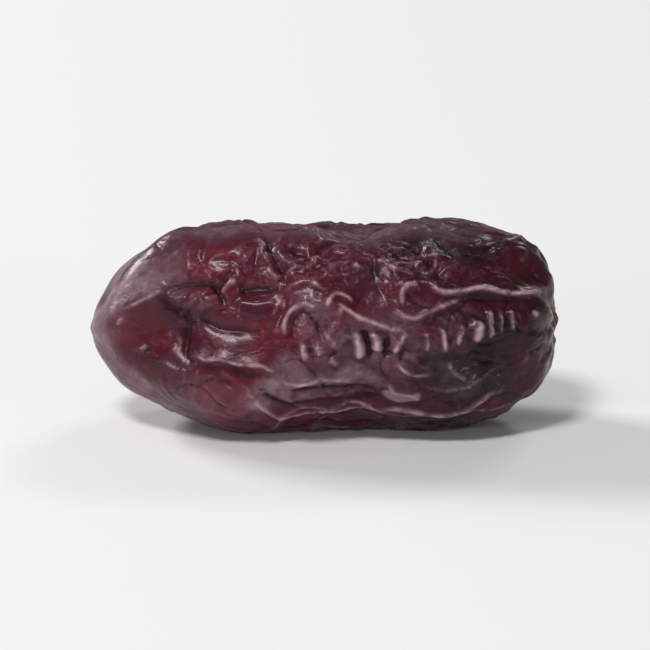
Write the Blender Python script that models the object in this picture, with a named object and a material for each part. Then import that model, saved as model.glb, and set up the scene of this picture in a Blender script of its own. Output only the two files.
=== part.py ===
"""A rabbi date lying on its side: one solid fruit whose wrinkled skin is raised by a formula.

The fruit's axis runs along X, from the pointed apex at -X to the blunt stalk end at +X, and its front
faces -Y. A place on the skin is listed as (mm from the apex tip, mm above the axis), as an eye VIEW_TILT
degrees above the table sees it from the front. The formulas turn it into (arc, angle): mm along the skin
from the apex tip, and radians round the axis, from 0 at the front to a quarter turn at the top.
"""

import math

import bmesh
import bpy
import numpy as np

MM = 0.001

# Driving dimensions of the fruit, in millimetres
LENGTH = 42.0
RADIUS = 9.3
WIDTH_SHARE = 0.96
APEX_TAPER = 14.8
STALK_TAPER = 14.5
STALK_BLUNTNESS = 2.5
TIP_DROOP = 0.25
STALK_LIFT = 0.30
REST_CUT = 0.34
REST_EASE = 0.12
FLAT_WITHIN = 0.02
VIEW_TILT = 17.0

# The nib that ends the apex, and the dip round it
NIB_HEIGHT = 0.22
NIB_RADIUS = 0.6
NIB_DIP = 0.12
NIB_DIP_RADIUS = 1.5

# The ring round the nib where the apex is drawn in: distance from its tip, half width, depth
DRAWN_IN = (3.6, 2.0, 0.32)

# The scar at the stalk end: distances from its middle, depths and heights
SCAR_RADIUS = 1.7
SCAR_RIM = 0.30
SCAR_RIM_WIDTH = 0.45
PIT_RADIUS = 0.55
PIT_DEPTH = 0.9
HOLLOW_RADIUS = 2.9
HOLLOW_DEPTH = 1.0
PUCKERS = 11
PUCKER_HEIGHT = 0.13
PUCKER_REACH = (1.6, 2.6, 3.5, 7.0)

# Seeded waves over the skin: wavelength, lean, count and seed. What they draw runs along the fruit at
# lean 0 and every way at lean 1 and above
SWELLING = (17.0, 0.7, 16, 11)
LUMPS = (8.0, 0.55, 24, 12)
LONG_PLEATS = (6.6, 0.45, 26, 21)
ACROSS_PLEATS = (3.6, 1.2, 26, 22)

# Heights and half widths of what the waves draw. The valley's width is a multiple of its pleat's
SWELLING_HEIGHT = 0.26
LUMP_HEIGHT = 0.15
LONG_PLEAT = (0.26, 0.34)
LONG_PLEAT_VALLEY = (0.16, 3.0)
ACROSS_PLEAT = (0.15, 0.24)

# Soft patches where each kind of wrinkle shows: size, wave value where it begins and is full, seed
PATCH_WAVES = (0.9, 16)
LONG_PLEAT_PATCHES = (4.5, -0.9, 0.6, 31)
ACROSS_PLEAT_PATCHES = (4.0, -0.2, 0.9, 33)
BLISTER_PATCHES = (4.0, -0.8, 0.6, 35)

# How wrinkles wander: waves along and round the skin, then the reach and seed of each kind of wrinkle
WANDER_ALONG = (5.0, 0.9, 14)
WANDER_ROUND = (5.5, 0.9, 14)
PLEAT_WANDER = (0.5, 51)
BLISTER_WANDER = (0.8, 52)

# Where the skin is smooth: near the apex, at the very stalk, and more on the front, with its listed folds
APEX_SMOOTH = 10.0
APEX_FADE = 8.0
STALK_SMOOTH = 2.5
STALK_FADE = 3.5
FRONT_CALM = 0.30

# The smoothest area of the front: middle, half length, half width round the axis, share of wrinkles gone
CALM_AREA = ((13.0, -1.6), 5.0, 2.8, 0.85)

# Loose skin between the folds
BLISTERS = 120
BLISTER_SEED = 71
BLISTER_SIZES = (0.8, 1.3)
BLISTER_STRETCH = 1.7
BLISTER_DEPTH = 0.36
BLISTER_SWELL = 0.4
BLISTER_CREASE = 0.45
BLISTER_LEAST = 0.35

# Section of a fold: a narrow crest or crease line over wide flanks, which hold this share of its height
FLANK_WIDTH = 0.75
FLANK_SHARE = 0.5

# Ends of a fold: height left at its very end, and share of its length over which it grows to full height
FOLD_END_HEIGHT = 0.25
FOLD_END_SHARE = 0.22
FOLD_REACH = 4.0

# Mesh: cells across one face of the cube that is wrapped round the fruit, and skin covered by each end face
CELLS = 52
CELLS_ALONG = 3
CAP_ARC = 8.0
CORNER_REACH = 0.22
NARROWEST_FOLD = 0.30
SOFTENING_PASSES = 4
KEPT_TRIANGLES = 11000

# Look of the skin
SKIN_COLOUR = (0.078, 0.016, 0.021, 1.0)
SKIN_ROUGHNESS = 0.34

# Creases: half width, depth, places
CREASES = [
    # round the dent of the apex and the leaf-shaped lobe behind it
    (0.45, 0.68, [(6.5, 2.7), (7.7, 1.7), (8.6, 0.7), (8.5, -0.6), (8.3, -2.5), (9.4, -3.5)]),
    (0.45, 0.61, [(6.8, 3.1), (8.0, 3.7), (10.3, 3.9), (11.4, 3.1), (12.1, 1.8)]),
    (0.40, 0.58, [(9.5, 0.7), (11.0, -0.3), (12.5, -0.7), (15.5, -0.6)]),
    (0.30, 0.48, [(11.2, 3.4), (12.2, 4.5), (13.0, 4.9)]),
    (0.38, 0.58, [(13.5, 3.1), (14.7, 3.4), (17.0, 3.1)]),
    # upper back
    (0.32, 0.58, [(15.8, 7.7), (16.2, 6.3), (16.7, 4.9), (17.5, 3.8)]),
    (0.32, 0.51, [(18.0, 6.3), (19.1, 6.0), (20.1, 5.4)]),
    (0.34, 0.51, [(20.3, 5.7), (20.7, 6.6), (21.9, 7.2), (23.2, 7.2)]),
    (0.30, 0.41, [(24.4, 4.9), (25.8, 3.9), (27.5, 3.7)]),
    (0.26, 0.44, [(26.9, 5.9), (27.7, 5.6), (28.7, 5.2)]),
    (0.26, 0.44, [(28.6, 6.5), (29.6, 6.1)]),
    (0.28, 0.48, [(30.8, 7.3), (31.6, 6.3), (32.4, 5.5)]),
    (0.26, 0.44, [(30.0, 5.4), (30.7, 4.5), (31.4, 3.9)]),
    # beside the long ridge
    (0.30, 0.54, [(31.6, 2.2), (33.4, 2.1), (36.2, 2.0), (39.2, 2.1)]),
    (0.28, 0.41, [(28.7, -0.2), (30.3, 0.4), (32.2, 1.3), (33.4, 1.7)]),
    # middle whorl and between the cross ridges
    (0.30, 0.44, [(18.1, -1.0), (18.2, -0.1), (19.1, 0.8), (20.0, 0.2), (20.9, -1.2)]),
    (0.24, 0.54, [(24.6, -0.5), (24.8, -1.9), (24.8, -3.2)]),
    (0.26, 0.58, [(26.6, -0.5), (26.4, -1.9), (26.2, -3.2)]),
    # belly
    (0.34, 0.46, [(9.6, -3.3), (10.9, -3.9), (12.6, -4.0), (14.2, -4.6), (16.4, -4.7)]),
    (0.34, 0.58, [(15.0, -5.4), (16.3, -6.3), (17.8, -7.0), (21.3, -7.0), (25.0, -6.7), (26.6, -6.7)]),
    (0.32, 0.54, [(17.5, -5.5), (20.0, -5.7), (22.5, -6.0), (25.6, -5.7)]),
]

# Ridges: half width, height, places
RIDGES = [
    # shoulder of the apex, and the nodule behind the lobe
    (0.80, 0.44, [(2.7, 1.3), (4.3, 2.1), (6.0, 2.7), (6.9, 3.2)]),
    (0.42, 0.58, [(11.5, 3.1), (12.4, 3.7), (13.3, 4.3)]),
    # upper back
    (0.30, 0.34, [(15.0, 7.4), (15.5, 5.9), (16.0, 4.5), (16.8, 3.5)]),
    (0.26, 0.37, [(17.4, 3.4), (18.8, 3.7), (19.8, 3.7), (21.3, 2.7)]),
    (0.26, 0.37, [(25.6, 5.4), (26.6, 4.6), (28.0, 4.3)]),
    (0.26, 0.37, [(29.4, 7.4), (30.3, 6.2), (30.7, 4.9), (30.0, 3.9)]),
    (0.32, 0.41, [(35.7, 6.7), (38.1, 6.6), (39.8, 5.9), (40.8, 4.9)]),
    # whorls in the middle
    (0.28, 0.60, [(21.0, 1.1), (21.3, 1.9), (22.0, 2.6), (22.9, 2.4), (23.4, 1.8)]),
    (0.28, 0.56, [(22.2, 0.2), (22.5, 1.2), (23.9, 0.5), (25.3, 0.2), (27.2, -0.4), (28.0, -0.7)]),
    (0.26, 0.56, [(27.8, 1.3), (27.8, 2.4), (28.4, 3.2), (29.3, 3.2)]),
    (0.28, 0.62, [(17.5, -1.2), (17.3, -0.2), (17.8, 0.9), (19.1, 1.6), (20.2, 1.1)]),
    (0.30, 0.41, [(20.7, -0.5), (21.3, -1.3), (22.0, -2.2)]),
    # the long double ridge that runs to the stalk end
    (0.24, 0.68, [(30.1, 3.3), (31.2, 2.7), (33.0, 2.7), (34.7, 2.9),
                  (37.2, 2.5), (39.4, 2.7), (41.0, 2.9)]),
    (0.26, 0.56, [(26.9, 1.1), (28.0, 0.5), (28.9, 0.3), (30.2, 1.0), (31.9, 1.8), (33.1, 2.1)]),
    # belly
    (0.34, 0.52, [(9.2, -2.2), (10.4, -2.9), (12.0, -3.0), (13.6, -3.6), (15.2, -3.6), (16.6, -4.1)]),
    (0.32, 0.61, [(13.5, -4.9), (14.7, -6.0), (15.8, -7.0), (16.9, -7.8),
                  (19.4, -7.9), (22.5, -7.6), (25.3, -7.4)]),
    (0.30, 0.58, [(25.3, -7.4), (27.5, -7.5), (29.5, -7.7), (32.3, -7.5), (34.7, -6.7), (36.5, -5.8)]),
    (0.40, 0.58, [(16.8, -4.3), (17.7, -4.8), (19.2, -5.0), (20.5, -4.9), (22.2, -5.1), (23.6, -5.2)]),
    (0.30, 0.48, [(26.4, -5.4), (27.0, -6.3), (28.7, -6.6), (29.7, -7.0)]),
    (0.28, 0.48, [(27.2, -3.5), (27.8, -4.1), (28.8, -4.4), (30.8, -4.4)]),
    (0.28, 0.37, [(29.1, -5.4), (31.6, -6.0), (34.1, -5.5), (36.2, -4.4)]),
    (0.28, 0.41, [(32.0, -3.5), (32.5, -4.6), (33.7, -5.4)]),
]

# Short rounded cross ridges below the whorls and the long ridge: half width, height, upper and lower end
CROSS_RIDGES = [
    (0.36, 0.50, [(19.2, -1.6), (19.4, -3.0)]),
    (0.36, 0.45, [(20.3, -1.7), (20.6, -2.7)]),
    (0.36, 0.45, [(21.3, -3.1), (22.1, -3.6)]),
    (0.52, 0.75, [(23.8, -0.9), (24.1, -3.2)]),
    (0.50, 0.70, [(25.5, -0.7), (25.6, -2.6)]),
    (0.34, 0.55, [(28.0, -0.7), (27.1, -2.8)]),
    (0.30, 0.30, [(29.7, -1.0), (29.9, -2.8)]),
    (0.36, 0.50, [(31.4, -0.5), (31.7, -3.0)]),
    (0.30, 0.35, [(33.3, -0.1), (32.8, -2.2)]),
    (0.42, 0.60, [(34.8, 0.1), (34.2, -1.8)]),
    (0.32, 0.45, [(35.7, 1.1), (35.5, -1.6)]),
    (0.28, 0.30, [(36.6, 1.2), (36.5, -1.2)]),
    (0.30, 0.38, [(37.4, 1.2), (37.6, -0.9)]),
    (0.36, 0.45, [(39.4, 0.9), (39.8, 0.4)]),
]

# Dents and swellings: middle, half length, half width round the axis, height
BULGES = [
    ((5.4, -0.4), 3.4, 2.9, -1.0),
    ((7.6, 7.8), 1.6, 2.2, 0.35),
    ((7.5, -8.0), 3.6, 3.4, -0.4),
    ((10.0, 2.1), 1.7, 1.2, 0.6),
    ((13.2, -1.9), 3.0, 1.3, -0.15),
    ((15.0, 1.2), 2.2, 1.2, 0.3),
    ((12.5, -6.6), 3.6, 2.0, 0.4),
    ((19.1, -0.1), 0.9, 0.9, 0.2),
    ((19.4, -6.6), 3.6, 1.2, 0.4),
    ((24.4, 2.7), 2.6, 1.6, -0.5),
    ((23.8, 8.4), 2.2, 2.2, -0.5),
    ((30.0, 8.6), 3.6, 3.0, 0.4),
    ((29.1, -2.6), 2.4, 1.2, -0.4),
    ((31.8, -8.8), 3.6, 3.2, -0.6),
    ((36.1, -3.3), 2.4, 1.7, -1.1),
    ((38.7, 4.6), 1.9, 1.4, -0.4),
]

# The listed folds, and again on the sides that the list doesn't reach: turn round the axis in degrees,
# whether they are flipped over, shift along the axis, share of the height, how far they wander, its seed
FOLD_SETS = [
    (0.0, False, 0.0, 1.0, 0.10, 60),
    (118.0, True, -1.6, 0.6, 0.45, 70),
    (-124.0, True, 1.4, 0.6, 0.45, 80),
]
FRONT_MIDDLE = 24.0


def smooth(low, high, value):
    """0 below low, 1 above high, eased between."""
    share = np.clip((value - low) / (high - low), 0.0, 1.0)
    return share * share * (3.0 - 2.0 * share)


def profile_table():
    """Arc, distance from the apex and radius, at many steps along the outline from apex to stalk end."""
    turn = np.linspace(0.0, math.pi, 4001)
    x = LENGTH * (1.0 - np.cos(turn)) / 2.0
    to_apex = np.clip(1.0 - x / APEX_TAPER, 0.0, 1.0)
    to_stalk = np.clip(1.0 - (LENGTH - x) / STALK_TAPER, 0.0, 1.0)
    radius = RADIUS * np.sqrt(1.0 - to_apex**2)
    radius *= (1.0 - to_stalk**STALK_BLUNTNESS) ** (1.0 / STALK_BLUNTNESS)
    step = np.hypot(np.diff(x), np.diff(radius))
    return np.concatenate([[0.0], np.cumsum(step)]), x, radius


ARC_STEPS, X_STEPS, RADIUS_STEPS = profile_table()
SKIN_LENGTH = ARC_STEPS[-1]


class Skin:
    """The smooth fruit under the wrinkles: one entry of each array for each point of the mesh."""

    def __init__(self, arc, angle):
        self.arc = arc
        self.angle = angle
        self.x = np.interp(arc, ARC_STEPS, X_STEPS)
        self.radius = np.interp(arc, ARC_STEPS, RADIUS_STEPS)
        self.to_stalk = SKIN_LENGTH - arc


def round_the_axis(skin, angle):
    """Distance in millimetres round the axis from this angle, positive towards the top of the front."""
    return ((skin.angle - angle + math.pi) % (2.0 * math.pi) - math.pi) * skin.radius


def place(spot, turn=0.0, flip=False, shift=0.0):
    """(arc, angle) of a listed place, turned round the axis, flipped over and shifted along it."""
    x = min(max(spot[0] + shift, 0.3), LENGTH - 0.3)
    listed_radius = float(np.interp(min(spot[0], LENGTH - 0.3), X_STEPS, RADIUS_STEPS))
    share = max(-0.985, min(0.985, spot[1] / listed_radius))
    degrees = math.degrees(math.asin(share)) + VIEW_TILT
    if flip:
        degrees = 2.0 * FRONT_MIDDLE - degrees
    return float(np.interp(x, X_STEPS, ARC_STEPS)), math.radians(degrees + turn)


def curve_through(places, steps=7):
    """Points of a smooth curve through the places."""
    points = np.array(places)
    before = 2.0 * points[0] - points[1]
    after = 2.0 * points[-1] - points[-2]
    points = np.vstack([before, points, after])
    share = np.linspace(0.0, 1.0, steps, endpoint=False)[:, None]
    pieces = []
    for a, b, c, d in zip(points[:-3], points[1:-2], points[2:-1], points[3:]):
        bend = 2 * a - 5 * b + 4 * c - d
        twist = 3 * (b - c) + d - a
        pieces.append(b + 0.5 * share * (c - a + share * (bend + share * twist)))
    pieces.append(points[-2][None, :])
    return np.vstack(pieces)


def line_distance(skin, places, reach):
    """Which points lie within reach of the curve through the places, their distance, and how far along."""
    curve = curve_through(places)
    middle = 0.5 * (curve[:, 0].min() + curve[:, 0].max())
    half = 0.5 * (curve[:, 0].max() - curve[:, 0].min()) + reach
    near = np.flatnonzero(np.abs(skin.arc - middle) < half)
    arc, angle, radius = skin.arc[near], skin.angle[near], np.maximum(skin.radius[near], 0.5)
    best = np.full(len(near), 1e9)
    along = np.zeros(len(near))
    for i in range(len(curve) - 1):
        start, end = curve[i], curve[i + 1]
        off_round = ((angle - start[1] + math.pi) % (2.0 * math.pi) - math.pi) * radius
        off_along = arc - start[0]
        step_round = (end[1] - start[1]) * radius
        step_along = end[0] - start[0]
        share = (off_along * step_along + off_round * step_round) / (step_along**2 + step_round**2 + 1e-9)
        share = np.clip(share, 0.0, 1.0)
        gap = np.hypot(off_along - share * step_along, off_round - share * step_round)
        closer = gap < best
        best[closer] = gap[closer]
        along[closer] = (i + share[closer]) / (len(curve) - 1)
    touched = best < reach
    return near[touched], best[touched], along[touched]


def waves(skin, wavelength, lean, count, seed):
    """A sum of seeded waves that closes round the axis, with its slopes along and round the skin."""
    draw = np.random.default_rng(seed)
    value = np.zeros(len(skin.arc))
    slope_along = np.zeros(len(skin.arc))
    slope_round = np.zeros(len(skin.arc))
    for _ in range(count):
        heading = draw.normal(0.0, lean)
        rate = 2.0 * math.pi / (wavelength * draw.uniform(0.75, 1.3))
        turns = round(rate * math.cos(heading) * RADIUS)
        rate_along = rate * math.sin(heading)
        phase = draw.uniform(0.0, 2.0 * math.pi)
        inner = rate_along * skin.arc + turns * skin.angle + phase
        value += np.sin(inner)
        slope_along += rate_along * np.cos(inner)
        slope_round += turns * np.cos(inner)
    scale = math.sqrt(2.0 / count)
    return value * scale, slope_along * scale, slope_round * scale / np.maximum(skin.radius, 2.0)


def warped(skin, reach, seed):
    """The same skin with its places moved about by up to a few times reach, in millimetres."""
    along = waves(skin, *WANDER_ALONG, seed)[0]
    around = waves(skin, *WANDER_ROUND, seed + 1)[0]
    ends = smooth(0.0, 4.0, skin.arc) * smooth(0.0, 4.0, skin.to_stalk)
    moved = Skin(np.clip(skin.arc + reach * along * ends, 0.0, SKIN_LENGTH), skin.angle.copy())
    moved.angle += reach * around * ends / np.maximum(skin.radius, 3.0)
    return moved


def patches(skin, size, low, high, seed):
    """0 to 1 in soft patches of about this size."""
    return smooth(low, high, waves(skin, 2.0 * size, *PATCH_WAVES, seed)[0])


def thread_distance(skin, wavelength, lean, count, seed):
    """Distance in millimetres to a net of wandering lines about half a wavelength apart."""
    value, along, around = waves(skin, wavelength, lean, count, seed)
    return np.abs(value) / (np.hypot(along, around) + 0.12)


def wrinkled(skin):
    """How wrinkled the skin is: 0 at the apex and the stalk, 1 on the body, and less on the front."""
    body = smooth(APEX_SMOOTH - APEX_FADE / 2.0, APEX_SMOOTH + APEX_FADE / 2.0, skin.arc)
    body *= smooth(STALK_SMOOTH, STALK_SMOOTH + STALK_FADE, skin.to_stalk)
    facing = np.cos(skin.angle - math.radians(VIEW_TILT))
    middle, half_length, half_width, taken = CALM_AREA
    arc, angle = place(middle)
    off = ((skin.arc - arc) / half_length) ** 2 + (round_the_axis(skin, angle) / half_width) ** 2
    return body * (1.0 - FRONT_CALM * smooth(0.0, 0.5, facing)) * (1.0 - taken * np.exp(-(off**1.4)))


def broad_form(skin):
    """The slow swelling and sinking of the whole fruit."""
    swelling = SWELLING_HEIGHT * waves(skin, *SWELLING)[0] * smooth(0.0, 6.0, skin.arc)
    lumps = LUMP_HEIGHT * waves(skin, *LUMPS)[0]
    return swelling + lumps * smooth(3.0, 9.0, skin.arc) * smooth(2.0, 6.0, skin.to_stalk)


def pleats(skin):
    """Pinched pleats along the fruit with a valley to each side, and shorter ones across."""
    moved = warped(skin, *PLEAT_WANDER)
    long_gap = thread_distance(moved, *LONG_PLEATS) / max(LONG_PLEAT[1], NARROWEST_FOLD)
    across_gap = thread_distance(moved, *ACROSS_PLEATS) / max(ACROSS_PLEAT[1], NARROWEST_FOLD)
    valley = LONG_PLEAT_VALLEY[0] * np.exp(-((long_gap / LONG_PLEAT_VALLEY[1]) ** 2))
    long_pleats = (LONG_PLEAT[0] * np.exp(-long_gap) - valley) * patches(skin, *LONG_PLEAT_PATCHES)
    across_pleats = ACROSS_PLEAT[0] * np.exp(-across_gap) * patches(skin, *ACROSS_PLEAT_PATCHES)
    return (long_pleats + across_pleats) * wrinkled(skin)


def blisters(skin):
    """Loose skin between the folds: drawn-out cushions with creases where they meet."""
    draw = np.random.default_rng(BLISTER_SEED)
    moved = warped(skin, *BLISTER_WANDER)
    nearest = np.full(len(skin.arc), 1e9)
    second = np.full(len(skin.arc), 1e9)
    for _ in range(BLISTERS):
        arc = draw.uniform(APEX_SMOOTH, SKIN_LENGTH)
        angle = draw.uniform(0.0, 2.0 * math.pi)
        size = draw.uniform(*BLISTER_SIZES)
        gap = np.hypot((moved.arc - arc) / BLISTER_STRETCH, round_the_axis(moved, angle)) / size
        second = np.minimum(second, np.maximum(nearest, gap))
        nearest = np.minimum(nearest, gap)
    crease = np.exp((nearest - second) / max(BLISTER_CREASE, NARROWEST_FOLD))
    share = BLISTER_LEAST + (1.0 - BLISTER_LEAST) * patches(skin, *BLISTER_PATCHES)
    return BLISTER_DEPTH * (BLISTER_SWELL - crease) * share * wrinkled(skin)


def fold(skin, half_width, places):
    """Points near the curve through the places, and the fold's strength there."""
    width = max(half_width, NARROWEST_FOLD)
    near, gap, along = line_distance(skin, places, FOLD_REACH * FLANK_WIDTH)
    grown = np.clip(np.minimum(along, 1.0 - along) / FOLD_END_SHARE, 0.0, 1.0) ** 0.7
    line = np.exp(-np.hypot(gap, 0.25 * width) / width + 0.25)
    flanks = np.exp(-np.hypot(gap, 0.25 * FLANK_WIDTH) / FLANK_WIDTH + 0.25)
    section = (1.0 - FLANK_SHARE) * line + FLANK_SHARE * flanks
    return near, section * (FOLD_END_HEIGHT + (1.0 - FOLD_END_HEIGHT) * grown)


def cross_ridge(skin, half_width, places):
    """Points near a short rounded ridge, and its strength there."""
    width = max(half_width, NARROWEST_FOLD)
    near, gap, along = line_distance(skin, places, FOLD_REACH * width)
    ends = smooth(0.0, 0.3, along + 0.1) * smooth(0.0, 0.3, 1.1 - along)
    return near, np.exp(-((gap / width) ** 2)) * ends


def placed_folds(skin):
    """The listed folds and bulges, and again on the sides that the list doesn't reach."""
    height = np.zeros(len(skin.arc))
    lines = [(fold, width, -depth, listed) for width, depth, listed in CREASES]
    lines += [(fold, width, rise, listed) for width, rise, listed in RIDGES]
    lines += [(cross_ridge, width, rise, listed) for width, rise, listed in CROSS_RIDGES]
    for turn, flip, shift, share, wander, seed in FOLD_SETS:
        moved = warped(skin, wander, seed)
        first = 0.0 if turn == 0.0 else APEX_SMOOTH
        for section, half_width, rise, listed in lines:
            if listed[0][0] < first:
                continue
            spots = [place(spot, turn, flip, shift) for spot in listed]
            near, strength = section(moved, half_width, spots)
            height[near] += share * rise * strength
        for middle, half_length, half_width, rise in BULGES:
            if middle[0] < first:
                continue
            arc, angle = place(middle, turn, flip, shift)
            off = ((moved.arc - arc) / half_length) ** 2 + (round_the_axis(moved, angle) / half_width) ** 2
            height += share * rise * np.exp(-(off**1.4))
    return height


def stalk_end(skin):
    """The hollow with the stalk's scar: a low rim, a pit in the middle, and puckers round it."""
    out = skin.to_stalk
    hollow = -HOLLOW_DEPTH * np.exp(-((out / HOLLOW_RADIUS) ** 2))
    rim = SCAR_RIM * np.exp(-(((out - SCAR_RADIUS) / SCAR_RIM_WIDTH) ** 2))
    pit = -PIT_DEPTH * (1.0 - smooth(0.6 * PIT_RADIUS, 1.4 * PIT_RADIUS, out))
    grow_from, grown, fade_from, faded = PUCKER_REACH
    reach = smooth(grow_from, grown, out) * (1.0 - smooth(fade_from, faded, out))
    pucker = PUCKER_HEIGHT * np.cos(PUCKERS * skin.angle + 1.2 * np.sin(2.0 * skin.angle + 0.5)) * reach
    return hollow + rim + pit + pucker


def apex_tip(skin):
    """The small nib that ends the fruit, in a slight ring-shaped dip, and the skin drawn in round both."""
    nib = NIB_HEIGHT * np.exp(-((skin.arc / NIB_RADIUS) ** 2))
    dip = NIB_DIP * np.exp(-((skin.arc / NIB_DIP_RADIUS) ** 2))
    middle, half_width, depth = DRAWN_IN
    return nib - dip - depth * np.exp(-(((skin.arc - middle) / half_width) ** 2))


def relief(skin):
    """Height of the wrinkled skin over the smooth fruit, in millimetres."""
    wrinkles = blisters(skin) + pleats(skin) + placed_folds(skin)
    return broad_form(skin) + wrinkles + stalk_end(skin) + apex_tip(skin)


def raised(skin, height):
    """Points in millimetres of the fruit, its skin raised by height, its tip drooping, its stalk end up."""
    along = np.interp(skin.arc, ARC_STEPS, np.gradient(X_STEPS, ARC_STEPS))
    outward = np.interp(skin.arc, ARC_STEPS, np.gradient(RADIUS_STEPS, ARC_STEPS))
    size = np.hypot(along, outward)
    radius = skin.radius + height * along / size
    x = skin.x - height * outward / size
    share = 2.0 * skin.x / LENGTH - 1.0
    bend = STALK_LIFT * smooth(0.2, 1.0, share) - TIP_DROOP * smooth(-0.4, -1.0, share)
    y = -WIDTH_SHARE * radius * np.cos(skin.angle)
    z = radius * np.sin(skin.angle) + bend
    return np.stack([x - LENGTH / 2.0, y, z], axis=1)


def rested(points):
    """The same points with the belly pressed flat where it lies on the table, which is height 0."""
    over = points[:, 2] + RADIUS - REST_CUT
    eased = np.clip(over + REST_EASE, 0.0, None) ** 2 / (4.0 * REST_EASE)
    lifted = points.copy()
    lifted[:, 2] = np.where(over < REST_EASE, eased, over)
    return lifted


def centred(points):
    """The same points moved along the table until their box is centred on the origin."""
    middle = (points.min(axis=0) + points.max(axis=0)) / 2.0
    return points - np.array([middle[0], middle[1], 0.0])


def wrapped_cube(name):
    """A mesh of quads all over a cube, six square grids with the four long ones split finer along X."""
    mesh = bpy.data.meshes.new(name)
    shape = bmesh.new()
    bmesh.ops.create_cube(shape, size=2.0)
    bmesh.ops.subdivide_edges(shape, edges=shape.edges[:], cuts=CELLS - 1, use_grid_fill=True)
    along = [edge for edge in shape.edges if abs(edge.verts[0].co.x - edge.verts[1].co.x) > 1e-5]
    bmesh.ops.subdivide_edges(shape, edges=along, cuts=CELLS_ALONG - 1, use_grid_fill=True)
    bmesh.ops.recalc_face_normals(shape, faces=shape.faces)
    shape.to_mesh(mesh)
    shape.free()
    return mesh


def coordinates(mesh):
    """The mesh's points, one row each."""
    values = np.empty(len(mesh.vertices) * 3)
    mesh.vertices.foreach_get("co", values)
    return values.reshape(-1, 3)


def skin_of(cube):
    """The place on the skin of each point of the cube: round the axis by its side, along it by X."""
    x, y, z = cube[:, 0], cube[:, 1], cube[:, 2]
    out = np.maximum(np.abs(y), np.abs(z))
    safe = np.maximum(out, 1e-9)
    cap = CAP_ARC * (1.0 + CORNER_REACH * (np.minimum(np.abs(y), np.abs(z)) / safe) ** 2)
    front_or_back = np.where(y < 0, 0.0, math.pi) - np.sign(y) * (math.pi / 4.0) * z / safe
    top_or_bottom = np.sign(z) * (math.pi / 2.0 + (math.pi / 4.0) * y / safe)
    angle = np.where(np.abs(y) >= np.abs(z), front_or_back, top_or_bottom)
    arc = cap + (x + 1.0) / 2.0 * (SKIN_LENGTH - 2.0 * cap)
    arc = np.where((x < -1.0 + 1e-6) & (out < 1.0), cap * out, arc)
    arc = np.where((x > 1.0 - 1e-6) & (out < 1.0), SKIN_LENGTH - cap * out**1.25, arc)
    return Skin(arc, angle)


def skin_material():
    """Dark maroon skin with a waxy gloss."""
    material = bpy.data.materials.new("date_skin")
    material.use_nodes = True
    shader = material.node_tree.nodes["Principled BSDF"]
    shader.inputs["Base Color"].default_value = SKIN_COLOUR
    shader.inputs["Roughness"].default_value = SKIN_ROUGHNESS
    shader.inputs["Metallic"].default_value = 0.0
    material.diffuse_color = SKIN_COLOUR
    return material


def thinned(fine):
    """A copy of the mesh with about KEPT_TRIANGLES, most of them where the skin is wrinkled."""
    helper = bpy.data.objects.new("fine_skin", fine)
    bpy.context.scene.collection.objects.link(helper)
    soften = helper.modifiers.new("soften", "SMOOTH")
    soften.factor = 0.5
    soften.iterations = SOFTENING_PASSES
    fewer = helper.modifiers.new("fewer_faces", "DECIMATE")
    fewer.ratio = KEPT_TRIANGLES / (2.0 * len(fine.polygons))
    fewer.use_collapse_triangulate = True
    evaluated = helper.evaluated_get(bpy.context.evaluated_depsgraph_get())
    mesh = bpy.data.meshes.new_from_object(evaluated)
    bpy.data.objects.remove(helper, do_unlink=True)
    bpy.data.meshes.remove(fine)
    return mesh


def build_date():
    """The fruit, as one closed mesh that rests on height 0."""
    fine = wrapped_cube("fine_skin")
    skin = skin_of(coordinates(fine))
    fine.vertices.foreach_set("co", (rested(raised(skin, relief(skin))) * MM).ravel())
    fine.update()
    mesh = thinned(fine)
    mesh.name = "date"
    points = centred(coordinates(mesh))
    points[:, 2] = np.where(points[:, 2] < FLAT_WITHIN * MM, 0.0, points[:, 2])
    mesh.vertices.foreach_set("co", points.ravel())
    mesh.update()
    mesh.shade_smooth()
    mesh.materials.append(skin_material())
    date = bpy.data.objects.new("date", mesh)
    bpy.context.scene.collection.objects.link(date)
    return date


def main():
    for old in list(bpy.data.objects):
        bpy.data.objects.remove(old, do_unlink=True)
    build_date()


if __name__ == "__main__":
    main()
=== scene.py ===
"""Looks of the rabbi date: its fine skin and that skin's material, with the floor, lights and camera.

The form repeats the formulas of the part's source on a finer mesh, with narrower folds and small wrinkles
that the source leaves out. The fruit's axis runs along X, from the apex at -X to the stalk end at +X, and
its front faces -Y. A place on the skin is listed as (mm from the apex tip, mm above the axis), as an eye
VIEW_TILT degrees above the floor sees it from the front. The formulas turn it into (arc, angle): mm along
the skin from the apex tip, and radians round the axis, from 0 at the front to a quarter turn at the top.
"""

import math

import bmesh
import bpy
import numpy as np
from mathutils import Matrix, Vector


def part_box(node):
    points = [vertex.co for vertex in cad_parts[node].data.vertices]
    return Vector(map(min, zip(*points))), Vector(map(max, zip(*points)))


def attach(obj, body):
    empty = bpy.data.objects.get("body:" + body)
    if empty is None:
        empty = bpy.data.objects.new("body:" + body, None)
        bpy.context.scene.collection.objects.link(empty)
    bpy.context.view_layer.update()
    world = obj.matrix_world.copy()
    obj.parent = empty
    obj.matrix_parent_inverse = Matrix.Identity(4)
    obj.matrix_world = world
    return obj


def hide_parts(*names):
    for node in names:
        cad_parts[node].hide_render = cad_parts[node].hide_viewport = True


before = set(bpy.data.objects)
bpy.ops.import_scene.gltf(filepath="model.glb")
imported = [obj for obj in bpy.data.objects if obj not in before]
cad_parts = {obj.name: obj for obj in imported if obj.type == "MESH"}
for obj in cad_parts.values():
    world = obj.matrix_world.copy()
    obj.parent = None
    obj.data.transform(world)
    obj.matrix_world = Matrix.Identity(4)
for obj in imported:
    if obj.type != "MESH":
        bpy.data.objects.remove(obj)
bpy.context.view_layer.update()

MM = 0.001

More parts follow.
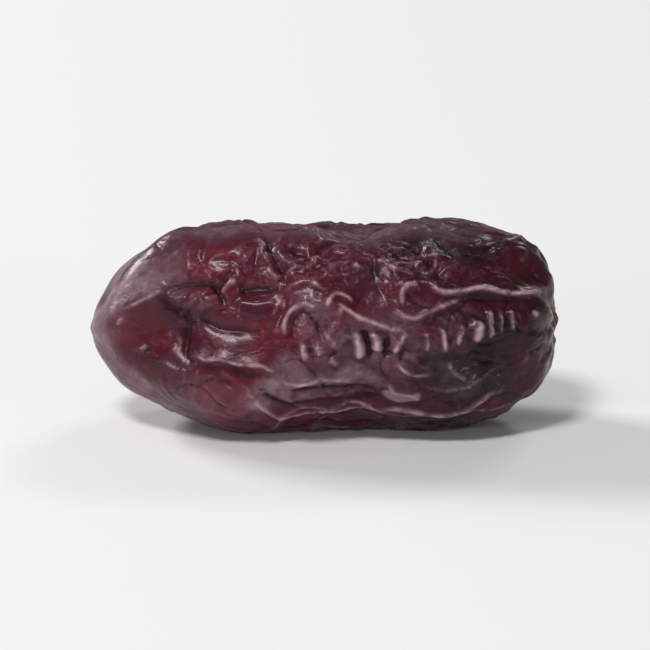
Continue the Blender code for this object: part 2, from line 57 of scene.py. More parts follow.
# Further than any distance on the skin, too short a length to divide by, and no distance at all on the cube
FAR = 1e9
TINY = 1e-9
NEXT_TO = 1e-5

# Driving dimensions of the fruit, in millimetres: its smooth body, and how far from each end that tapers
LENGTH = 42.0
RADIUS = 9.3
APEX_TAPER = 14.8
STALK_TAPER = 14.5

# Width as a share of the height, and how blunt the stalk end is, where 2 is an ellipse
WIDTH_SHARE = 0.96
STALK_BLUNTNESS = 2.5

# How far the apex droops and the stalk end lifts, and where, from -1 at the apex tip to 1 at the stalk
TIP_DROOP = 0.25
DROOP_SPAN = (-0.4, -1.0)
STALK_LIFT = 0.30
LIFT_SPAN = (0.2, 1.0)

# How much of the belly is pressed flat, how softly that begins, and what counts as lying on the table
REST_CUT = 0.34
REST_EASE = 0.12
FLAT_WITHIN = 0.02

# Degrees above the floor from which the front is seen, and steps in which the outline is measured
VIEW_TILT = 17.0
OUTLINE_STEPS = 4001

# The nib that ends the apex, and the dip round it
NIB_HEIGHT = 0.22
NIB_RADIUS = 0.6
NIB_DIP = 0.12
NIB_DIP_RADIUS = 1.5

# The ring round the nib where the apex is drawn in: distance from its tip, half width, depth
DRAWN_IN = (3.6, 2.0, 0.32)

# The scar at the stalk end. The pit's wall lies between two shares of its radius
SCAR_RADIUS = 1.7
SCAR_RIM = 0.30
SCAR_RIM_WIDTH = 0.45
PIT_RADIUS = 0.55
PIT_WALL = (0.6, 1.4)
PIT_DEPTH = 0.9
HOLLOW_RADIUS = 2.9
HOLLOW_DEPTH = 1.0

# Puckers round the scar: count, height, distances over which they grow and fade, and how unevenly they are
# spread, by how much, how many times round and from where
PUCKERS = 11
PUCKER_HEIGHT = 0.13
PUCKER_REACH = (1.6, 2.6, 3.5, 7.0)
PUCKER_SPREAD = (1.2, 2.0, 0.5)

# Seeded waves over the skin: wavelength, lean, count and seed. What they draw runs along the fruit at
# lean 0 and every way at lean 1 and above
SWELLING = (17.0, 0.7, 16, 11)
LUMPS = (8.0, 0.55, 24, 12)
LONG_PLEATS = (6.6, 0.45, 26, 21)
ACROSS_PLEATS = (3.6, 1.2, 26, 22)

# Shortest and longest wave, as shares of the wavelength, and a slope added so that level spots draw no blots
WAVE_SPREAD = (0.75, 1.3)
ADDED_SLOPE = 0.12

# Heights and half widths of what the waves draw. The valley's width is a multiple of its pleat's
SWELLING_HEIGHT = 0.26
LUMP_HEIGHT = 0.15
LONG_PLEAT = (0.26, 0.34)
LONG_PLEAT_VALLEY = (0.16, 3.0)
ACROSS_PLEAT = (0.15, 0.24)

# Distances from the apex tip and from the stalk over which the swelling and the lumps set in
SWELLING_FROM_APEX = 6.0
LUMPS_FROM_APEX = (3.0, 9.0)
LUMPS_FROM_STALK = (2.0, 6.0)

# Least radius near the two ends for distances round the axis: to a line, of a wave, and when wandering
LINE_RADIUS = 0.5
WAVE_RADIUS = 2.0
WANDER_RADIUS = 3.0

# Soft patches: the lean and count of their waves, then the patches where each kind of wrinkle shows, by size,
# wave value where a patch begins and is full, and seed
PATCH_WAVES = (0.9, 16)
LONG_PLEAT_PATCHES = (4.5, -0.9, 0.6, 31)
ACROSS_PLEAT_PATCHES = (4.0, -0.2, 0.9, 33)
BLISTER_PATCHES = (4.0, -0.8, 0.6, 35)

# How wrinkles wander: waves along and round the skin, how far from each end that sets in, reaches and seeds
WANDER_ALONG = (5.0, 0.9, 14)
WANDER_ROUND = (5.5, 0.9, 14)
WANDER_FADE = 4.0
PLEAT_WANDER = (0.5, 51)
BLISTER_WANDER = (0.8, 52)

# Where the skin is smooth: near the apex, at the stalk, and more on the front, between two values of facing
APEX_SMOOTH = 10.0
APEX_FADE = 8.0
STALK_SMOOTH = 2.5
STALK_FADE = 3.5
FRONT_CALM = 0.30
FRONT_FACING = (0.0, 0.5)

# The smoothest area of the front: middle, half length, half width round the axis, share of the wrinkles gone
CALM_AREA = ((13.0, -1.6), 5.0, 2.8, 0.85)

# How squarely the height of a dent or swelling falls off at its edge, and the strength of an area's colour
FORM_EDGE = 1.4
AREA_EDGE = 1.3

# Loose skin between the folds
BLISTERS = 120
BLISTER_SEED = 71
BLISTER_SIZES = (0.8, 1.3)
BLISTER_STRETCH = 1.7
BLISTER_DEPTH = 0.36
BLISTER_SWELL = 0.4
BLISTER_CREASE = 0.45
BLISTER_LEAST = 0.35

# Listed places stay this far from both ends, and this share of the radius from the axis
END_GAP = 0.3
OUTERMOST = 0.985

# Section of a fold: a narrow crest or crease line over wide flanks, which hold this share of its height, both
# rounded over this share of their width
FLANK_WIDTH = 0.75
FLANK_SHARE = 0.5
FOLD_ROUNDING = 0.25

# Ends of a fold: height left at its very end, share of its length over which it grows to full height, how
# suddenly it does, and how many widths away from it the fold ends
FOLD_END_HEIGHT = 0.25
FOLD_END_SHARE = 0.22
FOLD_END_CURVE = 0.7
FOLD_REACH = 4.0

# Ends of a cross ridge, as shares of its length: how long each grows, and how much of that is cut off
CROSS_END_SHARE = 0.3
CROSS_END_CUT = 0.1

# Hair-thin wrinkles: waves, height and half width, patches, wander, and how high those across are, as a share
FINE_LONG = (2.3, 0.5, 26, 101)
FINE_ACROSS = (1.7, 1.3, 26, 102)
FINE_WRINKLE = (0.055, 0.16)
FINE_PATCHES = (3.0, -1.0, 0.5, 103)
FINE_WANDER = (0.25, 104)
FINE_ACROSS_SHARE = 0.7

# Crumpled skin: small facets that sag between sharp little ridges. Count, seed, least and most size, how
# drawn out they are along the fruit, and how far along it a facet's middle is looked for
CRUMPLES = (1100, 105, (0.8, 1.2), 1.5, 4.0)

# Those ridges: height, half width in facet sizes, least share of height between patches, and sag as a share
CRUMPLE_RIDGE = (0.34, 0.50)
CRUMPLE_LEAST = 0.35
CRUMPLE_SAG = 0.3

# How the facets wander, patches of higher ridges, patches of crumpled skin behind, and its areas in front
CRUMPLE_WANDER = (0.22, 107)
CRUMPLE_SHARE = (1.6, -0.9, 0.7, 108)
CRUMPLE_PATCHES = (4.0, -0.5, 0.8, 106)
CRUMPLE_AREAS = [
    ((19.5, 5.0), 5.0, 2.8, 1.0),
    ((28.5, 5.6), 5.5, 2.6, 1.0),
    ((25.5, 8.2), 6.0, 2.6, 0.8),
    ((35.0, 5.0), 4.0, 2.4, 0.7),
    ((20.0, -0.8), 4.5, 2.4, 0.8),
    ((32.0, -1.6), 8.0, 2.4, 0.8),
    ((21.5, -5.2), 6.5, 2.6, 0.8),
    ((33.0, -5.4), 5.5, 2.6, 0.9),
]

# Mesh: cells across a face of the cube that is wrapped round the fruit, and how finely each is split along it
CELLS = 84
CELLS_ALONG = 3

# Millimetres of skin covered by each end face, how much further its corners reach, as a share, and how
# strongly the cells at the stalk end crowd towards its middle
CAP_ARC = 8.0
CORNER_REACH = 0.22
STALK_CAP_CURVE = 1.25

# How often and how strongly the finished mesh is smoothed
SOFTENING_PASSES = 2
SOFTENING_STRENGTH = 0.5

# Passes that blur the relief, to tell creases from crests, valleys from ridges and hollows from swellings
CREASE_PASSES = 12
VALLEY_PASSES = 45
DIP_PASSES = 150

# Creases: half width, depth, places
CREASES = [
    # round the dent of the apex and the leaf-shaped lobe behind it
    (0.45, 0.68, [(6.5, 2.7), (7.7, 1.7), (8.6, 0.7), (8.5, -0.6), (8.3, -2.5), (9.4, -3.5)]),
    (0.45, 0.61, [(6.8, 3.1), (8.0, 3.7), (10.3, 3.9), (11.4, 3.1), (12.1, 1.8)]),
    (0.40, 0.58, [(9.5, 0.7), (11.0, -0.3), (12.5, -0.7), (15.5, -0.6)]),
    (0.30, 0.48, [(11.2, 3.4), (12.2, 4.5), (13.0, 4.9)]),
    (0.38, 0.58, [(13.5, 3.1), (14.7, 3.4), (17.0, 3.1)]),
    # upper back
    (0.32, 0.58, [(15.8, 7.7), (16.2, 6.3), (16.7, 4.9), (17.5, 3.8)]),
    (0.32, 0.51, [(18.0, 6.3), (19.1, 6.0), (20.1, 5.4)]),
    (0.34, 0.51, [(20.3, 5.7), (20.7, 6.6), (21.9, 7.2), (23.2, 7.2)]),
    (0.30, 0.41, [(24.4, 4.9), (25.8, 3.9), (27.5, 3.7)]),
    (0.26, 0.44, [(26.9, 5.9), (27.7, 5.6), (28.7, 5.2)]),
    (0.26, 0.44, [(28.6, 6.5), (29.6, 6.1)]),
    (0.28, 0.48, [(30.8, 7.3), (31.6, 6.3), (32.4, 5.5)]),
    (0.26, 0.44, [(30.0, 5.4), (30.7, 4.5), (31.4, 3.9)]),
    # beside the long ridge
    (0.30, 0.54, [(31.6, 2.2), (33.4, 2.1), (36.2, 2.0), (39.2, 2.1)]),
    (0.28, 0.41, [(28.7, -0.2), (30.3, 0.4), (32.2, 1.3), (33.4, 1.7)]),
    # middle whorl and between the cross ridges
    (0.30, 0.44, [(18.1, -1.0), (18.2, -0.1), (19.1, 0.8), (20.0, 0.2), (20.9, -1.2)]),
    (0.24, 0.54, [(24.6, -0.5), (24.8, -1.9), (24.8, -3.2)]),
    (0.26, 0.58, [(26.6, -0.5), (26.4, -1.9), (26.2, -3.2)]),
    # belly
    (0.34, 0.46, [(9.6, -3.3), (10.9, -3.9), (12.6, -4.0), (14.2, -4.6), (16.4, -4.7)]),
    (0.34, 0.58, [(15.0, -5.4), (16.3, -6.3), (17.8, -7.0), (21.3, -7.0), (25.0, -6.7), (26.6, -6.7)]),
    (0.32, 0.54, [(17.5, -5.5), (20.0, -5.7), (22.5, -6.0), (25.6, -5.7)]),
]

# Ridges: half width, height, places
RIDGES = [
    # shoulder of the apex, and the nodule behind the lobe
    (0.80, 0.44, [(2.7, 1.3), (4.3, 2.1), (6.0, 2.7), (6.9, 3.2)]),
    (0.42, 0.58, [(11.5, 3.1), (12.4, 3.7), (13.3, 4.3)]),
    # upper back
    (0.30, 0.34, [(15.0, 7.4), (15.5, 5.9), (16.0, 4.5), (16.8, 3.5)]),
    (0.26, 0.37, [(17.4, 3.4), (18.8, 3.7), (19.8, 3.7), (21.3, 2.7)]),
    (0.26, 0.37, [(25.6, 5.4), (26.6, 4.6), (28.0, 4.3)]),
    (0.26, 0.37, [(29.4, 7.4), (30.3, 6.2), (30.7, 4.9), (30.0, 3.9)]),
    (0.32, 0.41, [(35.7, 6.7), (38.1, 6.6), (39.8, 5.9), (40.8, 4.9)]),
    # whorls in the middle
    (0.28, 0.60, [(21.0, 1.1), (21.3, 1.9), (22.0, 2.6), (22.9, 2.4), (23.4, 1.8)]),
    (0.28, 0.56, [(22.2, 0.2), (22.5, 1.2), (23.9, 0.5), (25.3, 0.2), (27.2, -0.4), (28.0, -0.7)]),
    (0.26, 0.56, [(27.8, 1.3), (27.8, 2.4), (28.4, 3.2), (29.3, 3.2)]),
    (0.28, 0.62, [(17.5, -1.2), (17.3, -0.2), (17.8, 0.9), (19.1, 1.6), (20.2, 1.1)]),
    (0.30, 0.41, [(20.7, -0.5), (21.3, -1.3), (22.0, -2.2)]),
    # the long double ridge that runs to the stalk end
    (0.24, 0.68, [(30.1, 3.3), (31.2, 2.7), (33.0, 2.7), (34.7, 2.9),
                  (37.2, 2.5), (39.4, 2.7), (41.0, 2.9)]),
    (0.26, 0.56, [(26.9, 1.1), (28.0, 0.5), (28.9, 0.3), (30.2, 1.0), (31.9, 1.8), (33.1, 2.1)]),
    # belly
    (0.34, 0.52, [(9.2, -2.2), (10.4, -2.9), (12.0, -3.0), (13.6, -3.6), (15.2, -3.6), (16.6, -4.1)]),
    (0.32, 0.61, [(13.5, -4.9), (14.7, -6.0), (15.8, -7.0), (16.9, -7.8),
                  (19.4, -7.9), (22.5, -7.6), (25.3, -7.4)]),
    (0.30, 0.58, [(25.3, -7.4), (27.5, -7.5), (29.5, -7.7), (32.3, -7.5), (34.7, -6.7), (36.5, -5.8)]),
    (0.40, 0.58, [(16.8, -4.3), (17.7, -4.8), (19.2, -5.0), (20.5, -4.9), (22.2, -5.1), (23.6, -5.2)]),
    (0.30, 0.48, [(26.4, -5.4), (27.0, -6.3), (28.7, -6.6), (29.7, -7.0)]),
    (0.28, 0.48, [(27.2, -3.5), (27.8, -4.1), (28.8, -4.4), (30.8, -4.4)]),
    (0.28, 0.37, [(29.1, -5.4), (31.6, -6.0), (34.1, -5.5), (36.2, -4.4)]),
    (0.28, 0.41, [(32.0, -3.5), (32.5, -4.6), (33.7, -5.4)]),
]

# Short rounded cross ridges below the whorls and the long ridge: half width, height, upper and lower end
CROSS_RIDGES = [
    (0.36, 0.50, [(19.2, -1.6), (19.4, -3.0)]),
    (0.36, 0.45, [(20.3, -1.7), (20.6, -2.7)]),
    (0.36, 0.45, [(21.3, -3.1), (22.1, -3.6)]),
    (0.52, 0.75, [(23.8, -0.9), (24.1, -3.2)]),
    (0.50, 0.70, [(25.5, -0.7), (25.6, -2.6)]),
    (0.34, 0.55, [(28.0, -0.7), (27.1, -2.8)]),
    (0.30, 0.30, [(29.7, -1.0), (29.9, -2.8)]),
    (0.36, 0.50, [(31.4, -0.5), (31.7, -3.0)]),
    (0.30, 0.35, [(33.3, -0.1), (32.8, -2.2)]),
    (0.42, 0.60, [(34.8, 0.1), (34.2, -1.8)]),
    (0.32, 0.45, [(35.7, 1.1), (35.5, -1.6)]),
    (0.28, 0.30, [(36.6, 1.2), (36.5, -1.2)]),
    (0.30, 0.38, [(37.4, 1.2), (37.6, -0.9)]),
    (0.36, 0.45, [(39.4, 0.9), (39.8, 0.4)]),
]

# Dents and swellings: middle, half length, half width, height
BULGES = [
    ((5.4, -0.4), 3.4, 2.9, -1.0),
    ((7.6, 7.8), 1.6, 2.2, 0.35),
    ((7.5, -8.0), 3.6, 3.4, -0.4),
    ((10.0, 2.1), 1.7, 1.2, 0.6),
    ((13.2, -1.9), 3.0, 1.3, -0.15),
    ((15.0, 1.2), 2.2, 1.2, 0.3),
    ((12.5, -6.6), 3.6, 2.0, 0.4),
    ((19.1, -0.1), 0.9, 0.9, 0.2),
    ((19.4, -6.6), 3.6, 1.2, 0.4),
    ((24.4, 2.7), 2.6, 1.6, -0.5),
    ((23.8, 8.4), 2.2, 2.2, -0.5),
    ((30.0, 8.6), 3.6, 3.0, 0.4),
    ((29.1, -2.6), 2.4, 1.2, -0.4),
    ((31.8, -8.8), 3.6, 3.2, -0.6),
    ((36.1, -3.3), 2.4, 1.7, -1.1),
    ((38.7, 4.6), 1.9, 1.4, -0.4),
]

# The listed folds, and again on the sides that the list doesn't reach: turn round the axis in degrees,
# whether they are flipped over, shift along the axis, share of the height, how far they wander, its seed
FOLD_SETS = [
    (0.0, False, 0.0, 1.0, 0.10, 60),
    (118.0, True, -1.6, 0.6, 0.45, 70),
    (-124.0, True, 1.4, 0.6, 0.45, 80),
]
FRONT_MIDDLE = 24.0

# The pale line along the top of a listed ridge, partly wear and partly painted highlight: half width,
# strength beside a cross ridge's
RIDGE_TOP_WIDTH = 0.30
RIDGE_TOP_SHARE = 0.75

# Colours of the skin, as they would be picked on a screen
MAROON = (88, 21, 37)
PLUM = (62, 26, 42)
RED = (106, 14, 26)
INK = (20, 11, 17)
# Milky mauve: partly the skin's waxy bloom, partly painted sheen and highlight
BLOOM_AND_SHEEN = (148, 123, 134)
# Painted shade for creases, valleys and dips: dark red, and darker where the skin is dark
SHADE_RED = (40, 5, 10)
SHADE_BLACK = (10, 4, 7)
# Crest colours: partly wear, partly painted highlight where light catches the crests and ribs
CREST_WEAR_AND_HIGHLIGHT = (134, 92, 102)
CREST_HIGHLIGHT = (196, 164, 170)
CREST_TAN_HIGHLIGHT = (168, 132, 120)
# A painted highlight patch on the belly
PALE_HIGHLIGHT = (160, 136, 138)
SCAR = (166, 114, 80)
SCAR_EDGE = (90, 46, 36)
PIT = (22, 12, 9)
NIB = (58, 34, 26)

# Areas of the front: middle, half length, half width, strength
RED_AREAS = [
    ((5.2, -1.2), 3.2, 4.0, 0.65),
    ((12.5, -5.6), 4.5, 3.2, 0.75),
    ((11.5, 2.4), 4.0, 2.4, 0.6),
    ((15.5, -1.2), 4.5, 2.0, 0.6),
    ((11.0, 5.4), 4.0, 1.8, 0.6),
    ((22.5, 6.0), 3.4, 1.4, 0.5),
    ((38.4, 5.2), 2.2, 1.5, 0.9),
]
# Darker areas: partly the skin's own purple-black, partly painted shade where neighbouring fruit shaded it
DARK_AND_SHADED_AREAS = [
    ((34.0, -4.6), 7.0, 4.2, 1.0),
    ((37.2, -1.4), 5.0, 3.2, 1.0),
    ((33.0, 6.6), 6.0, 3.0, 1.0),
    ((40.0, 1.5), 2.6, 3.6, 0.8),
    ((27.5, -5.0), 2.5, 2.0, 0.5),
    # Painted shade low on the belly, where the fruit meets the table
    ((31.5, -8.3), 6.5, 1.8, 0.85),
    ((7.2, 1.1), 2.2, 1.8, 0.55),
    ((5.0, -3.0), 2.2, 1.5, 0.35),
    ((14.2, 3.0), 1.6, 0.9, 0.4),
]
# Areas of waxy bloom with painted sheen over it, on the shoulder, rims and belly
BLOOM_AND_SHEEN_AREAS = [
    ((3.4, 3.6), 4.6, 2.0, 0.85),
    ((0.8, -0.6), 2.2, 5.0, 0.3),
    ((12.0, 8.2), 6.0, 1.8, 0.45),
    ((24.0, 8.6), 9.0, 2.4, 0.35),
    ((13.0, -6.8), 4.5, 2.0, 0.25),
    ((4.2, -5.2), 3.0, 1.2, 0.6),
    ((7.8, -7.6), 2.6, 1.2, 0.5),
    ((16.0, -5.9), 2.4, 1.4, 0.9),
    ((19.5, -4.6), 3.0, 1.2, 0.65),
    ((23.0, -5.2), 3.0, 1.0, 0.8),
    ((20.0, 0.3), 1.8, 1.8, 0.5),
    ((25.5, -1.8), 5.5, 2.0, 0.4),
    ((28.5, -3.2), 1.6, 1.6, 0.4),
    ((33.5, -5.0), 3.0, 0.8, 0.2),
]
# A painted highlight patch
PALE_HIGHLIGHT_AREAS = [((27.1, -6.6), 1.3, 1.25, 1.0)]
AREA_WANDER = (0.6, 111)

# Where the photograph doesn't show the skin: how far it faces away, and how far it is from the apex tip
FACING_AWAY = (-0.15, 0.25)
BEHIND_FROM_APEX = (2.0, 9.0)

# The same colours on those sides: soft patches, and the strength of each
RED_PATCHES = (5.0, 0.1, 1.2, 112)
RED_BEHIND = 0.6
DARK_PATCHES = (6.0, -0.6, 0.9, 113)
DARK_BEHIND = 0.9
BLOOM_AND_SHEEN_PATCHES = (4.0, -0.2, 1.3, 114)
BLOOM_AND_SHEEN_BEHIND = 0.35

# The skin darkens towards the stalk: mm from the apex where that begins and is full, and its strength
STALK_DARKENING = (20.0, 38.0)
STALK_DARKNESS = 0.55

# Noises of the skin's material: the size of the spots in millimetres, how detailed, rough, bent and drawn out
# along the fruit they are, then two values of the noise and what each becomes, which is 0 and 1 if not given
MOTTLE = ({"size": 5.0, "bent": 0.8, "along": 1.6}, (0.36, 0.64))
BLOTCH = ({"size": 1.4, "bent": 0.5, "along": 1.5}, (0.35, 0.68))
BLOOM_AND_SHEEN_NOISE = ({"size": 0.9, "detail": 4.0, "rough": 0.65}, (0.30, 0.70, 0.35, 0.95))
TINT = ({"size": 2.5}, (0.45, 0.65))
WEAR_AND_HIGHLIGHT_BREAKS = ({"size": 0.9, "detail": 4.0}, (0.34, 0.62, 0.25, 1.0))
NET_BREAKS = ({"size": 1.1, "detail": 2.0}, (0.40, 0.62))
RAGGED = ({"size": 1.1, "detail": 4.0}, (0.2, 0.8, -0.6, 0.6))
SCAR_GRAIN = ({"size": 0.6, "detail": 4.0}, (0.38, 0.62, 0.15, 0.90))

# How blotches and the marks on the skin are read, in the same way. The marks for creases, valleys and dips
# are depths in millimetres, below 0 on crests, and those for the ends are millimetres along the skin
RED_BY_BLOTCH = (0.0, 1.0, 1.0, 0.6)
DARK_BY_BLOTCH = (0.0, 1.0, 0.88, 1.0)
# Painted shade in dips, valleys and creases, by their depth
DIP_SHADE = (0.05, 0.60, 0.0, 0.60)
VALLEY_SHADE = (0.03, 0.30, 0.0, 0.75)
CREASE_SHADE = (0.01, 0.14, 0.0, 0.80)
# Crests paler, partly wear and partly painted highlight, less where the skin is dark
WORN_AND_HIGHLIT = (-0.10, -0.01, 0.60, 0.0)
WORN_AND_HIGHLIT_BY_DARK = (0.1, 0.9, 1.0, 0.05)
SHARPEST_HIGHLIGHT = (-0.20, -0.07, 0.80, 0.0)
SHARPEST_HIGHLIGHT_BY_DARK = (0.2, 1.0, 1.0, 0.55)
# Painted highlight on the ribs
RIB_HIGHLIGHT = (0.15, 0.90, 0.0, 0.85)
NET_BY_DARK = (0.1, 0.9, 0.40, 0.05)
PALE_HIGHLIGHT_SHARE = (0.35, 0.7, 0.0, 0.65)
SCAR_EDGE_REACH = (1.6, 3.6, 0.80, 0.0)
SCAR_REACH = (1.3, 2.4, 1.0, 0.0)
PIT_REACH = (0.40, 0.80, 1.0, 0.0)
NIB_REACH = (0.25, 0.75, 0.8, 0.0)

# Strength of the blotches over the mottles and red areas
BLOTCH_SHARE = 0.35

# Net of hair-thin lines: its cells, and how near to their borders a line is
NET_CELLS = {"size": 0.85, "along": 1.7, "reach": 1.3}
NET_LINE = (0.02, 0.20, 1.0, 0.0)

# Roughness: the waxy skin's, less on ribs, more in haze, in creases and on the dry scar
GLOSS = ({"size": 0.8, "detail": 4.0, "rough": 0.6}, (0.30, 0.70, 0.27, 0.39))
RIB_ROUGHNESS = -0.06
HAZE_ROUGHNESS = 0.10
CREASE_ROUGHNESS = (0.02, 0.15, 0.0, 0.25)
SCAR_ROUGHNESS = (1.6, 2.6, 0.40, 0.0)

# Bump in millimetres: leathery grain, pores, and the height of the net's lines
CREPE = ({"size": 0.6, "detail": 3.0, "rough": 0.5, "bent": 0.6, "along": 1.8}, (0.2, 0.8, 0.0, 0.030))
PORES = ({"size": 0.12, "detail": 2.0}, (0.3, 0.7, 0.0, 0.0015))
NET_HEIGHT = 0.045

# What is the same all over the skin, by the shader's own names
SKIN_CONSTANTS = {
    "Metallic": 0.0,
    "IOR": 1.35,
    "Specular Tint": (1.0, 0.74, 0.82, 1.0),
    "Coat Weight": 0.14,
    "Coat Roughness": 0.15,
    "Sheen Weight": 0.04,
    "Sheen Roughness": 0.40,
    "Sheen Tint": (0.85, 0.60, 0.74, 1.0),
}

# Camera: the photograph looks down on the fruit by VIEW_TILT. The width in view and heights are in metres
LENS = 300.0
SENSOR = 36.0
VIEW_WIDTH = 0.0583
AXIS_HEIGHT = 0.0089
NEAREST_SEEN = 0.01

# Floor and surroundings
FLOOR_SIZE = 6.0
FLOOR_COLOUR = (0.90, 0.90, 0.90, 1.0)
FLOOR_ROUGHNESS = 0.8
SURROUNDINGS = (1.0, 1.0, 1.0, 1.0)
SURROUNDINGS_STRENGTH = 0.14

# Softboxes: azimuth (0 at the camera, positive to its right), elevation, distance, width, height, radiance
SOFTBOXES = {
    "key": (-30.0, 58.0, 1.0, 0.22, 0.20, 35.0),
    "front_left": (-48.0, 14.0, 1.0, 0.10, 0.18, 29.0),
    "front_right": (46.0, 12.0, 1.0, 0.07, 0.14, 22.0),
    "back_left": (-125.0, 30.0, 1.0, 0.32, 0.24, 25.0),
    "back_right": (150.0, 40.0, 1.0, 0.32, 0.14, 10.0),
}


def smooth(low, high, value):
    """0 below low, 1 above high, eased between."""
    share = np.clip((value - low) / (high - low), 0.0, 1.0)
    return share * share * (3.0 - 2.0 * share)


def profile_table():
    """Arc, distance from the apex and radius, at many steps along the outline from apex to stalk end."""
    turn = np.linspace(0.0, math.pi, OUTLINE_STEPS)
    x = LENGTH * (1.0 - np.cos(turn)) / 2.0
    to_apex = np.clip(1.0 - x / APEX_TAPER, 0.0, 1.0)
    to_stalk = np.clip(1.0 - (LENGTH - x) / STALK_TAPER, 0.0, 1.0)
    radius = RADIUS * np.sqrt(1.0 - to_apex**2)
    radius *= (1.0 - to_stalk**STALK_BLUNTNESS) ** (1.0 / STALK_BLUNTNESS)
    step = np.hypot(np.diff(x), np.diff(radius))
    return np.concatenate([[0.0], np.cumsum(step)]), x, radius


ARC_STEPS, X_STEPS, RADIUS_STEPS = profile_table()
SKIN_LENGTH = ARC_STEPS[-1]


class Skin:
    """The smooth fruit under the wrinkles: one entry of each array for each point of the mesh."""

    def __init__(self, arc, angle):
        self.arc = arc
        self.angle = angle
        self.x = np.interp(arc, ARC_STEPS, X_STEPS)
        self.radius = np.interp(arc, ARC_STEPS, RADIUS_STEPS)
        self.to_stalk = SKIN_LENGTH - arc


def half_turns(angle):
    """The same angle between half a turn back and half a turn on."""
    return (angle + math.pi) % (2.0 * math.pi) - math.pi


def oval(skin, centre, half_length, half_width, edge):
    """1 in the middle of an oval of the skin, whose centre is (arc, angle), falling to 0 outside it."""
    arc, angle = centre
    round_the_axis = half_turns(skin.angle - angle) * skin.radius
    off = ((skin.arc - arc) / half_length) ** 2 + (round_the_axis / half_width) ** 2
    return np.exp(-(off**edge))


def place(spot, turn=0.0, flip=False, shift=0.0):
    """(arc, angle) of a listed place, turned round the axis, flipped over and shifted along it."""
    x = min(max(spot[0] + shift, END_GAP), LENGTH - END_GAP)
    listed_radius = float(np.interp(min(spot[0], LENGTH - END_GAP), X_STEPS, RADIUS_STEPS))
    share = max(-OUTERMOST, min(OUTERMOST, spot[1] / listed_radius))
    degrees = math.degrees(math.asin(share)) + VIEW_TILT
    if flip:
        degrees = 2.0 * FRONT_MIDDLE - degrees
    return float(np.interp(x, X_STEPS, ARC_STEPS)), math.radians(degrees + turn)


def curve_through(places, steps=7):
    """Points of a smooth curve through the places."""
    points = np.array(places)
    before = 2.0 * points[0] - points[1]
    after = 2.0 * points[-1] - points[-2]
    points = np.vstack([before, points, after])
    share = np.linspace(0.0, 1.0, steps, endpoint=False)[:, None]
    pieces = []
    for a, b, c, d in zip(points[:-3], points[1:-2], points[2:-1], points[3:]):
        bend = 2 * a - 5 * b + 4 * c - d
        twist = 3 * (b - c) + d - a
        pieces.append(b + 0.5 * share * (c - a + share * (bend + share * twist)))
    pieces.append(points[-2][None, :])
    return np.vstack(pieces)


def line_distance(skin, places, reach):
    """Which points lie within reach of the curve through the places, their distance, and how far along."""
    curve = curve_through(places)
    first, last = curve[:, 0].min() - reach, curve[:, 0].max() + reach
    near = np.flatnonzero((first < skin.arc) & (skin.arc < last))
    arc, angle = skin.arc[near], skin.angle[near]
    radius = np.maximum(skin.radius[near], LINE_RADIUS)
    best = np.full(len(near), FAR)
    along = np.zeros(len(near))
    for i, (start, end) in enumerate(zip(curve[:-1], curve[1:])):
        off_round = half_turns(angle - start[1]) * radius
        off_along = arc - start[0]
        step_round = (end[1] - start[1]) * radius
        step_along = end[0] - start[0]
        share = (off_along * step_along + off_round * step_round) / (step_along**2 + step_round**2 + TINY)
        share = np.clip(share, 0.0, 1.0)
        gap = np.hypot(off_along - share * step_along, off_round - share * step_round)
        closer = gap < best
        best[closer] = gap[closer]
        along[closer] = (i + share[closer]) / (len(curve) - 1)
    touched = best < reach
    return near[touched], best[touched], along[touched]


def waves(skin, wavelength, lean, count, seed):
    """A sum of seeded waves that closes round the axis, with its slopes along and round the skin."""
    draw = np.random.default_rng(seed)
    total = np.zeros((3, len(skin.arc)))
    for _ in range(count):
        heading = draw.normal(0.0, lean)
        rate = 2.0 * math.pi / (wavelength * draw.uniform(*WAVE_SPREAD))
        turns = round(rate * math.cos(heading) * RADIUS)
        rate_along = rate * math.sin(heading)
        phase = draw.uniform(0.0, 2.0 * math.pi)
        inner = rate_along * skin.arc + turns * skin.angle + phase
        total += (np.sin(inner), rate_along * np.cos(inner), turns * np.cos(inner))
    value, slope_along, slope_round = total * math.sqrt(2.0 / count)
    return value, slope_along, slope_round / np.maximum(skin.radius, WAVE_RADIUS)


def warped(skin, reach, seed):
    """The same skin with its places moved about by up to a few times reach, in millimetres."""
    along = waves(skin, *WANDER_ALONG, seed)[0]
    around = waves(skin, *WANDER_ROUND, seed + 1)[0]
    ends = smooth(0.0, WANDER_FADE, skin.arc) * smooth(0.0, WANDER_FADE, skin.to_stalk)
    moved = Skin(np.clip(skin.arc + reach * along * ends, 0.0, SKIN_LENGTH), skin.angle.copy())
    moved.angle += reach * around * ends / np.maximum(skin.radius, WANDER_RADIUS)
    return moved


def patches(skin, size, low, high, seed):
    """0 to 1 in soft patches of about this size."""
    return smooth(low, high, waves(skin, 2.0 * size, *PATCH_WAVES, seed)[0])


def thread_distance(skin, wavelength, lean, count, seed):
    """Distance in millimetres to a net of wandering lines about half a wavelength apart."""
    value, along, around = waves(skin, wavelength, lean, count, seed)
    return np.abs(value) / (np.hypot(along, around) + ADDED_SLOPE)


def facing(skin):
    """How far the skin faces the eye: 1 straight at it, 0 side on, -1 right away from it."""
    return np.cos(skin.angle - math.radians(VIEW_TILT))


def wrinkled(skin):
    """How wrinkled the skin is: 0 at the apex and the stalk, 1 on the body, and less on the front."""
    body = smooth(APEX_SMOOTH - APEX_FADE / 2.0, APEX_SMOOTH + APEX_FADE / 2.0, skin.arc)
    body *= smooth(STALK_SMOOTH, STALK_SMOOTH + STALK_FADE, skin.to_stalk)
    middle, *halves, taken = CALM_AREA
    calm = 1.0 - taken * oval(skin, place(middle), *halves, FORM_EDGE)
    return body * (1.0 - FRONT_CALM * smooth(*FRONT_FACING, facing(skin))) * calm


